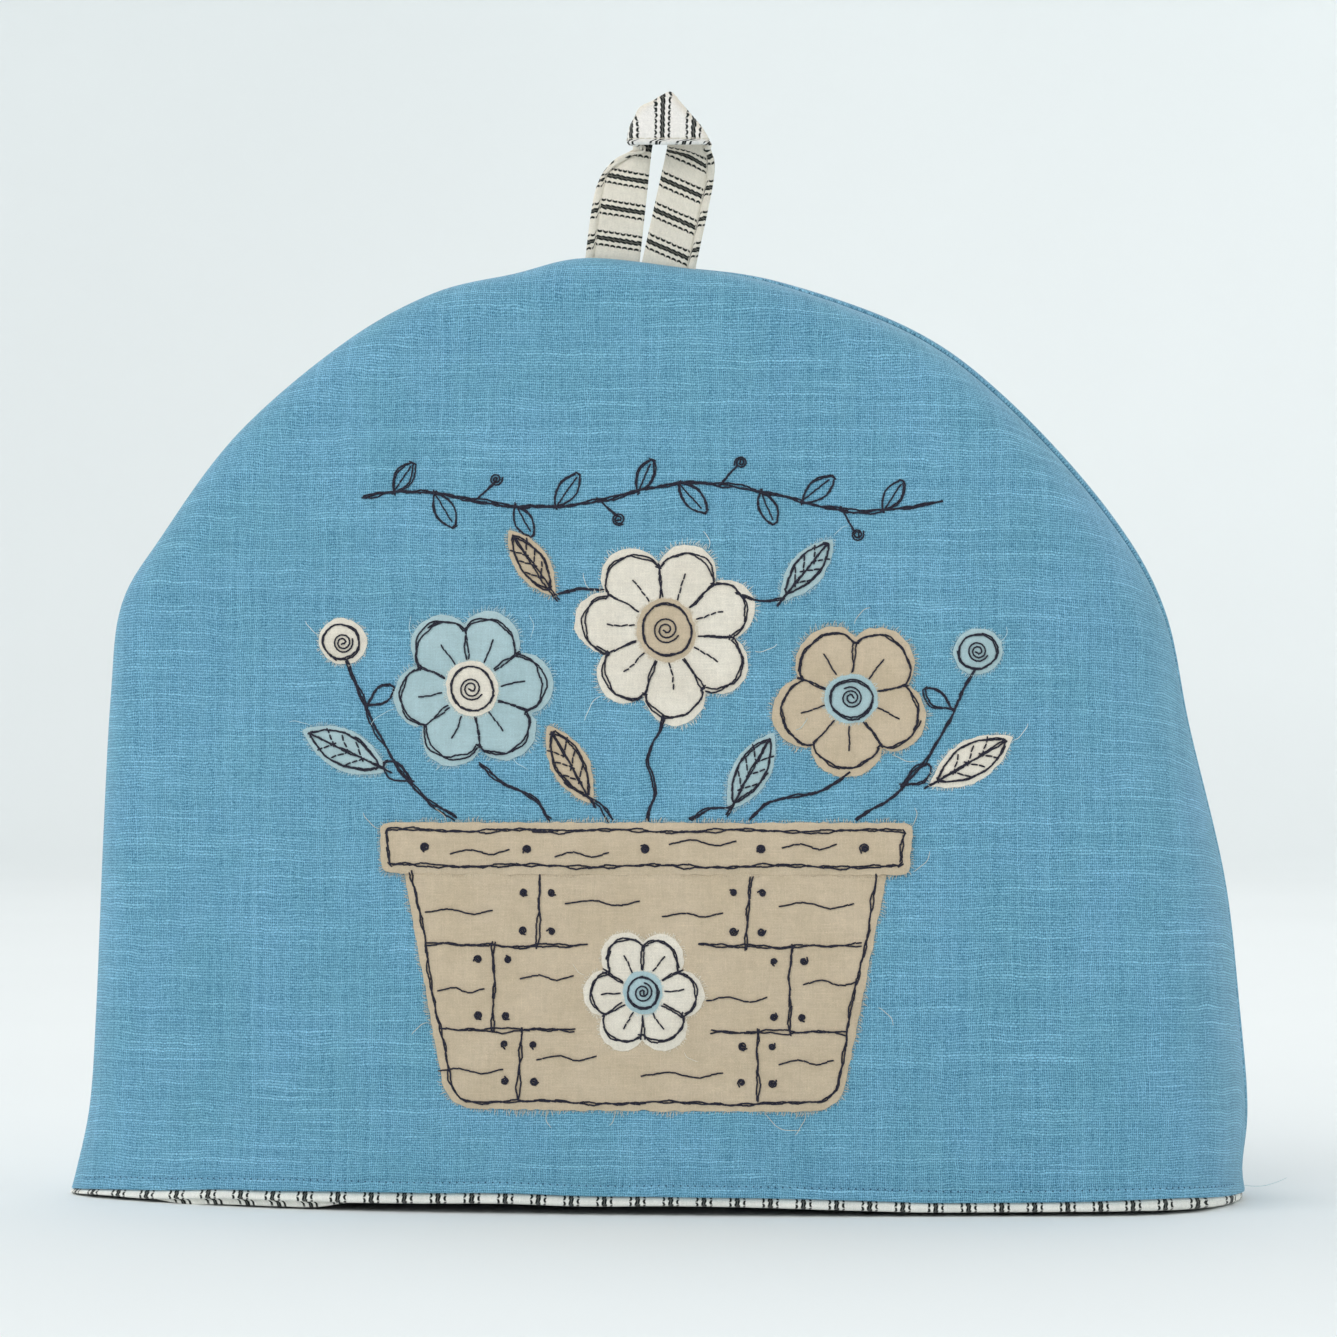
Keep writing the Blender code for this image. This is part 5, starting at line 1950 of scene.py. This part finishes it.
class Embroidery:
    """Free-motion stitching: doubled, wandering lines over the patches and the bare linen."""

    stitch = 0.00165
    knot_stitch = 0.0009
    height = 0.10
    planter_x = -2.0

    def __init__(self, box: FlowerBox) -> None:
        """Start with no lines.

        Args:
            box: The patches that the stitching lies on.
        """
        self.box = box
        self.rng = np.random.default_rng(7)
        self.lines: dict[str, list[Array]] = {}

    def wander(self, line: Array, amount: float) -> Array:
        """Let a line stray sideways a little, as a hand-guided one does.

        Args:
            line: Flat points.
            amount: Typical distance strayed, in millimetres.

        Returns:
            The strayed line, its points about a millimetre apart.
        """
        run = run_length(line)
        count = max(4, int(run[-1] / 0.9))
        at = np.linspace(0.0, run[-1], count)
        even = sampled(line, run, at)
        ahead = unit(np.gradient(even, axis=0))
        side = np.column_stack((-ahead[:, 1], ahead[:, 0]))
        stray = np.zeros(count)
        for wavelength, share in ((37.0, 0.9), (15.0, 0.6), (6.5, 0.35)):
            stray += share * np.sin(2.0 * math.pi * (at / wavelength + self.rng.random()))
        return even + side * (stray * amount)[:, None]

    def run(self, group: str, line: Table | Array, passes: int = 2, amount: float = 0.38) -> None:
        """Sew a line, usually twice.

        Args:
            group: Which piece the line belongs to.
            line: Flat points.
            passes: How many times it is sewn over.
            amount: How far each pass strays.
        """
        points = np.asarray(line, float)
        for number in range(passes):
            shifted = points + self.rng.normal(0.0, 0.16, 2)
            strayed = self.wander(shifted, amount * (1.0 + 0.3 * number))
            self.lines.setdefault(group, []).append(strayed)

    def curve(self, group: str, knots: Table, passes: int = 2, amount: float = 0.35) -> Array:
        """Sew a smooth curve through knots and return it."""
        line = smooth_curve(knots, 60)
        self.run(group, line, passes, amount)
        return line

    def closed(self, group: str, outline: Array, passes: int = 2, amount: float = 0.38) -> None:
        """Sew round a closed outline, with a short overlap."""
        overlap = max(2, len(outline) // 40)
        start = int(self.rng.integers(len(outline)))
        ring = np.roll(outline, -start, axis=0)
        self.run(group, np.vstack((ring, ring[:overlap])), passes, amount)

    def spiral(self, x: float, z: float, radius: float, turns: float) -> None:
        """Sew a small spiral in short stitches."""
        angle = np.linspace(0.0, turns * 2.0 * math.pi, int(24 * turns))
        reach = radius * np.linspace(0.15, 1.0, len(angle))
        angle = angle + self.rng.random() * 6.0
        line = np.column_stack((x + reach * np.cos(angle), z + reach * np.sin(angle)))
        self.run("knot_stitching", line, passes=1, amount=0.12)

    def sew_patches(self) -> None:
        """Sew round and over every patch."""
        box = self.box
        for patch in box.patches[:2]:
            ring = evened(patch.outline, 1.5)
            ring = ring - outline_normals(ring) * 2.4
            if patch.name == "planter":
                ring = np.roll(ring, -int(ring[:, 1].argmax()), axis=0)
                self.run("planter_stitching", ring[ring[:, 1] < box.band["bottom"] + 0.5], 2)
            else:
                self.closed("planter_stitching", ring)
        for _, x, z, radius, petals, turn, _, _ in box.flowers:
            ring = box.flower(x, z, radius - 2.5, petals, turn, notch=0.23)
            self.closed("flower_stitching", ring)
            inner = next((disc for disc in box.discs if disc[1] == x and disc[2] == z), None)
            start = inner[3] + 1.4 if inner else 6.0
            for petal in range(petals):
                notch = math.radians(turn) + math.pi * (2 * petal + 1) / petals
                for offset, end in ((0.0, 0.70), (math.pi / petals, 0.62)):
                    reach = np.linspace(start, radius * end, 12)[:, None]
                    line = np.array((x, z)) + reach * heading(notch + offset)
                    self.run("flower_stitching", line, passes=1 if offset else 2, amount=0.3)
        for _, x, z, radius, _, _ in box.discs:
            ring = box.disc(x, z, radius - 1.7)
            self.closed("flower_stitching", ring, amount=0.22)
            self.spiral(x, z, radius * 0.45, 2.3)
        for _, x, z, half_length, half_width, turn, _, _ in box.leaves:
            ring = box.leaf(x, z, half_length - 2.4, half_width - 1.5, turn)
            self.closed("flower_stitching", ring, amount=0.2)
            way = heading(math.radians(turn))
            side = sideways(way)
            middle = np.array((x, z))
            rib = middle + np.linspace(-half_length - 1.0, half_length - 3.0, 20)[:, None] * way
            self.run("flower_stitching", rib, passes=2, amount=0.18)
            for share in (-0.45, -0.1, 0.25):
                root = middle + way * half_length * share
                for hand in (1.0, -1.0):
                    tip = root + way * 3.2 + side * hand * half_width * 0.5
                    self.run("flower_stitching", np.vstack((root, tip)), passes=1, amount=0.1)

    def sew_planter(self) -> None:
        """Draw the planter's boards, joints, nails and grain."""
        group = "planter_stitching"
        for z, half in ((53.0, 58.0), (77.5, 62.5)):
            clear = 20.5 if z < 60.0 else 17.0
            self.run(group, ((self.planter_x - half, z), (self.planter_x - clear, z)))
            self.run(group, ((self.planter_x + clear, z), (self.planter_x + half, z)))
        for x, low, high in ((-38, 34, 53), (31, 34, 53), (-46, 53, 77.5),
                             (40, 53, 77.5), (-33, 77.5, 97), (28, 77.5, 97)):
            self.run(group, ((x, low), (x + 0.6, high)))
            for hand in (-1.0, 1.0):
                for z in (low + 4.2, high - 4.2):
                    self.spiral(x + hand * 4.2, z, 1.1, 2.6)
        for x in (-66.0, -36.0, -2.0, 32.0, 62.0):
            self.spiral(x, 105.5, 1.3, 3.0)
        grains = ((-52, 41, 9), (-24, 45, 8), (9, 40, 11), (45, 44, 7),
                  (-55, 64, 6), (-30, 68, 7), (25, 62, 8), (52, 67, 7),
                  (-56, 87, 9), (-14, 90, 10), (12, 86, 8), (48, 89, 10),
                  (-50, 104, 8), (15, 107, 9), (-20, 103.5, 7), (46, 106, 7))
        for x, z, half in grains:
            rises = ((-1.0, 0.0), (-0.3, 0.9), (0.4, -0.4), (1.0, 0.6))
            knots = tuple((x + half * share, z + up) for share, up in rises)
            self.curve(group, knots, passes=1, amount=0.15)

    def sew_stems(self) -> None:
        """Sew stems up to the flowers, buds and upper leaves."""
        group = "stem_stitching"
        stems = (
            ((-30, 114.5), (-34, 120), (-44, 125), (-50, 129.5)),
            ((-1, 114.5), (1, 122), (-1, 132), (3.5, 143)),
            ((29, 114.5), (35, 119), (48, 122), (57, 127.5)),
            ((-58, 114.5), (-70, 123), (-82, 141), (-90.5, 159.5)),
            ((60, 114.5), (72, 122), (85, 140), (93.5, 156.5)),
            ((-12, 114.5), (-15, 118), (-18, 120)),
            ((12, 114.5), (17, 117), (22.5, 117.5)),
            ((-15, 181), (-22, 181), (-29, 180)),
            ((25, 180), (31, 178), (37.5, 178.5)),
        )
        for knots in stems:
            self.curve(group, knots, passes=3, amount=0.28)
        for x, z, hand in ((-71, 125, -1), (73, 124, 1), (-84.5, 147, 1), (87.5, 146, -1)):
            bends = ((0.0, 0.0), (3.5, 5.0), (8.0, 5.5), (6.0, 1.0), (0.0, 0.0))
            knots = tuple((x + hand * out, z + up) for out, up in bends)
            self.curve(group, knots, amount=0.2)

    def sew_garland(self) -> None:
        """Sew a wavy garland of leaf loops and berries above the flowers."""
        group = "garland_stitching"
        xs = np.linspace(-86.0, 84.0, 15)
        zs = 207.0 + 3.4 * np.sin(xs / 14.5 + 0.6) + 2.5 * np.cos(xs / 48.0)
        line = smooth_curve(np.column_stack((xs, zs)), 240)
        self.run(group, line, passes=3, amount=0.3)
        for number, at in enumerate(range(12, 232, 17)):
            root = line[at]
            ahead = unit((line[at + 4] - line[at - 4])[None])[0]
            hand = 1.0 if number % 2 == 0 else -1.0
            way = unit((ahead * 0.75 + sideways(ahead) * hand)[None])[0]
            side = sideways(way)
            length = 10.5 + 1.6 * math.sin(number * 2.1)
            if number % 3 == 2:
                stalk = np.array([root + way * step for step in (0.0, 3.5, 6.8)])
                self.run(group, stalk, passes=2, amount=0.14)
                self.spiral(*(root + way * 8.6), 2.0, 2.2)
                continue
            share = np.linspace(0.0, 1.0, 22)
            swell = np.sin(share * math.pi) ** 0.8 * length * 0.24
            rib = root + np.outer(share * length, way)
            edge = np.outer(swell, side)
            self.run(group, np.vstack((rib + edge, (rib - edge)[::-1])), passes=2, amount=0.16)
            rib = root + np.outer(np.linspace(0.0, length * 0.78, 8), way)
            self.run(group, rib, passes=1, amount=0.1)

    def build(self, tree: StitchTree, material: Material) -> list[Piece]:
        """Sew everything.

        Args:
            tree: The tree that lays the stitches.
            material: The thread's finish.

        Returns:
            The pieces.
        """
        self.sew_patches()
        self.sew_planter()
        self.sew_stems()
        self.sew_garland()
        pieces = []
        for group, lines in self.lines.items():
            placed = [FRONT.placed(line, self.box.height(line) + self.height) for line in lines]
            length = self.knot_stitch if group == "knot_stitching" else self.stitch
            pieces.append(tree.grow(
                group, line_source(group, placed), material, f"{len(lines)} lines",
                Stitch_Length=length, Thread_Radius=0.00027, Rise=0.0002, Turn=0.17, Cover=1.12,
                Dip=0.35, Taper=0.15, Seed=3,
            ))
        return pieces


class Topstitching:
    """Blue machine stitching above the hem and ecru stitching along the loop's edge."""

    first_stitch = -171.0
    first_hole = -169.95
    last = 169.5

    def source(self, name: str, side: Side, first: float, height: float) -> Piece:
        """Line of one side's hem stitching, or of the holes between its stitches.

        Args:
            name: The line's name.
            side: Front or back.
            first: Where it starts on X.
            height: How far above the cloth it lies.

        Returns:
            The line.
        """
        x = np.linspace(first, self.last, 420)
        z = HEM.edge_at(x) + STITCH_HEIGHT + 0.18 * np.sin(x / 31.0) + 0.1 * np.sin(x / 9.0)
        return line_source(name, [side.placed(np.column_stack((x, z)), height)])

    def hem(self, side: Side, tree: StitchTree, material: Material) -> Piece:
        """Sew one side's hem."""
        return tree.grow(
            f"{side.name}_hem_stitching", self.source("hem_line", side, self.first_stitch, 0.05),
            material, "hem stitching", Stitch_Length=0.0021, Thread_Radius=0.00017, Rise=0.00014,
            Turn=0.04, Seed=8,
        )

    def needle_holes(self, side: Side, tree: StitchTree, material: Material) -> Piece:
        """Mark one side's needle holes between the stitches with short dark stubs, painted shade of
        the holes.
        """
        return tree.grow(
            f"{side.name}_needle_holes", self.source("hole_line", side, self.first_hole, 0.12),
            material, "needle holes", "linen", Stitch_Length=0.0021, Thread_Radius=0.00022,
            Rise=0.00006, Turn=0.4, Cover=0.2, Dip=0.5, Taper=0.2, Seed=5,
        )

    def loop(self, loop: HangingLoop, tree: StitchTree, material: Material) -> Piece:
        """Sew along the loop's edge."""
        return tree.grow(
            "loop_stitching", line_source("loop_line", loop.stitch_lines()), material,
            "loop stitching", Stitch_Length=0.0021, Thread_Radius=0.00014, Rise=0.00012, Turn=0.05,
            Seed=9,
        )


class LooseThreads:
    """Long frayed threads that curl over the linen, and one at the right end of the hem."""

    steps = 22

    def __init__(self, box: FlowerBox) -> None:
        """Work beside the patches."""
        self.box = box

    def strand(
        self, x: float, z: float, angle: float, length: float, curl: float
    ) -> tuple[Array, Array]:
        """Lay one loose thread on the front.

        Args:
            x: Where it starts.
            z: Where it starts.
            angle: Its first direction, in degrees.
            length: Its length.
            curl: How far it turns along its length, in degrees.

        Returns:
            Its points and the normals there.
        """
        share = np.linspace(0.0, 1.0, self.steps)
        heading = np.radians(angle + curl * share + 9.0 * np.sin(share * 9.0 + x))[:-1]
        step = length / (self.steps - 1)
        run_x, run_z = np.cumsum(np.cos(heading) * step), np.cumsum(np.sin(heading) * step)
        flat = np.column_stack((x + np.append(0.0, run_x), z + np.append(0.0, run_z)))
        height = np.maximum(self.box.height(flat) + 0.12, 0.16 + 0.5 * np.sin(share * 2.6))
        return FRONT.placed(flat, height)

    def build(self, tree: StrandTree, palette: Palette) -> list[Piece]:
        """Lay the threads of each cloth.

        Args:
            tree: The tree that makes them.
            palette: The finishes.

        Returns:
            The pieces.
        """
        beige = [
            (33, 30, -65, 13, 75), (45, 30, -95, 8, -40), (-30, 30, -100, 6, 50),
            (76, 99, 20, 8, 60), (-80, 111, 160, 7, -50), (75.5, 112, 40, 6, 80),
            (66, 60, -20, 7, -60), (-65, 55, 200, 6, 40), (-10, 30, -80, 5, -60),
            (70, 133, -40, 8, 50), (59, 171, 80, 7, -70), (-60, 112.5, 100, 6, 60),
        ]
        blue = [
            (-76, 146, 190, 9, 50), (-70, 166, 130, 8, -60), (-36, 167, 60, 7, 70),
            (-101, 141, 150, 7, 40), (42, 140, 20, 5, 60), (101, 165, 30, 6, 70),
            (-41, 132, -50, 6, 30), (53, 197, 60, 5, -50),
        ]
        cream = [
            (-15, 150, 215, 9, 50), (30, 163, -10, 7, 60), (-18, 181, 150, 6, -70),
            (16, 193, 70, 6, 80), (105, 137, 20, 7, 60), (-99, 168, 160, 6, -50),
            (10, 47, -60, 5, 60), (-19, 69, 160, 5, -50),
        ]
        pieces = []
        for cloth, strands in ((Cloth.BEIGE, beige), (Cloth.PALE_BLUE, blue), (Cloth.CREAM, cream)):
            source = line_source("strands", [self.strand(*strand) for strand in strands])
            pieces.append(tree.grow(
                f"{cloth.name.lower()}_strands", source, palette.frays[cloth], "loose threads",
                cloth.value, Thread_Radius=0.000085,
            ))
        knots = np.array(((171.5, 4.9), (175.5, 4.3), (180.0, 4.4), (184.0, 5.6), (187.0, 7.0)))
        flat = smooth_curve(knots, 24)
        line = np.column_stack((flat[:, 0], np.linspace(-6.0, -9.0, 24), flat[:, 1]))
        source = line_source("strands", [(line, np.tile((0.0, -1.0, 0.0), (24, 1)))])
        pieces.append(tree.grow(
            "hem_strand", source, palette.frays[Cloth.PALE_BLUE], "thread end at the hem",
            Thread_Radius=0.00009,
        ))
        return pieces


# Studio


@dataclass
class Studio:
    """Pale floor, soft lights and the camera."""

    floor_radius: float = 2.6
    cove_radius: float = 0.9
    wall_height: float = 1.6
    azimuth: float = 2.5
    aim: tuple[float, float, float] = (0.003, 0.0, 0.158)
    distance: float = 1.504
    lens: float = 135.0
    light_spread: float = 60.0
    air_strength: float = 0.35
    floor_sides: int = 96

    def floor(self) -> None:
        """Build the round floor, which curves up into a low wall all round."""
        profile = [(0.0, 0.0)]
        profile += [(float(r), 0.0) for r in np.linspace(0.3, self.floor_radius, 10)]
        for turn in np.linspace(0.0, math.pi / 2.0, 16)[1:]:
            profile.append((
                self.floor_radius + self.cove_radius * math.sin(turn),
                self.cove_radius * (1.0 - math.cos(turn)),
            ))
        profile.append((self.floor_radius + self.cove_radius, self.wall_height))
        sides = self.floor_sides
        points, faces = [(0.0, 0.0, 0.0)], []
        for radius, height in profile[1:]:
            for side in range(sides):
                angle = 2.0 * math.pi * side / sides
                x, y = radius * math.cos(angle), radius * math.sin(angle)
                points.append((x / MM, y / MM, height / MM))
        for side in range(sides):
            faces.append((0, 1 + side, 1 + (side + 1) % sides))
        for ring in range(len(profile) - 2):
            for side in range(sides):
                a, b = 1 + ring * sides + side, 1 + ring * sides + (side + 1) % sides
                faces.append((a, a + sides, b + sides, b))
        floor = make_piece("studio_floor", np.array(points), faces, StudioPaper().material())

    def light(self, name: str, place: tuple[float, float, float], strength: float) -> None:
        """Add one broad, far, white light.

        Args:
            name: The light's name.
            place: The direction that it comes from.
            strength: How strong it is.
        """
        data = bpy.data.lights.new(name, "SUN")
        data.angle = math.radians(self.light_spread)
        data.energy = strength
        lamp = linked(name, data)
        lamp.rotation_mode = "QUATERNION"
        lamp.rotation_quaternion = (-Vector(place)).to_track_quat("-Z", "Y")

    def lights(self) -> None:
        """Light the scene like a white studio tent, with a broad key from the upper left."""
        world = bpy.data.worlds.new("studio_air")
        world.use_nodes = True
        air = world.node_tree.nodes["Background"]
        air.inputs["Color"].default_value = (1.0, 1.0, 1.0, 1.0)
        air.inputs["Strength"].default_value = self.air_strength
        bpy.context.scene.world = world
        self.light("key", (-0.62, -0.62, 0.62), 1.62)
        self.light("side", (1.0, -0.1, 0.4), 1.02)
        self.light("rim", (-0.8, 0.5, 0.4), 1.54)
        self.light("back", (0.2, 0.7, 0.7), 0.66)

    def camera(self) -> None:
        """Place the camera at the photograph's viewing angle."""
        data = bpy.data.cameras.new("camera")
        data.sensor_width = 36.0
        data.lens = self.lens
        data.clip_start = 0.05
        data.clip_end = 30.0
        camera = linked("camera", data)
        turn = math.radians(self.azimuth)
        back = Vector((math.sin(turn), -math.cos(turn), 0.0))
        camera.location = Vector(self.aim) + back * self.distance
        camera.rotation_mode = "QUATERNION"
        camera.rotation_quaternion = (-back).to_track_quat("-Z", "Y")
        bpy.context.scene.camera = camera

    def build(self) -> None:
        """Set everything up."""
        self.floor()
        self.lights()
        self.camera()
        bpy.context.scene.view_settings.view_transform = "Standard"


def main() -> None:
    """Build the cosy and its studio, piece by piece."""
    logging.basicConfig(level=logging.INFO, format="%(name)s %(message)s")
    Studio().build()
    palette = Palette()
    layout = PanelLayout()
    Panel(FRONT, layout).build("front_linen", "front_panel", palette.linen)
    Panel(BACK, layout).build("back_linen", "back_panel", palette.linen)
    TickingHem().build(palette.hem_ticking)
    loop = HangingLoop()
    loop.build(palette.loop_ticking)
    box = FlowerBox(palette)
    box.build()
    stitches = StitchTree()
    Embroidery(box).build(stitches, palette.navy)
    topstitching = Topstitching()
    topstitching.hem(FRONT, stitches, palette.blue)
    topstitching.hem(BACK, stitches, palette.blue)
    for side in (FRONT, BACK):
        topstitching.needle_holes(side, stitches, palette.shaded_blue)
    topstitching.loop(loop, stitches, palette.ecru)
    LooseThreads(box).build(StrandTree(), palette)


if __name__ == "__main__":
    main()
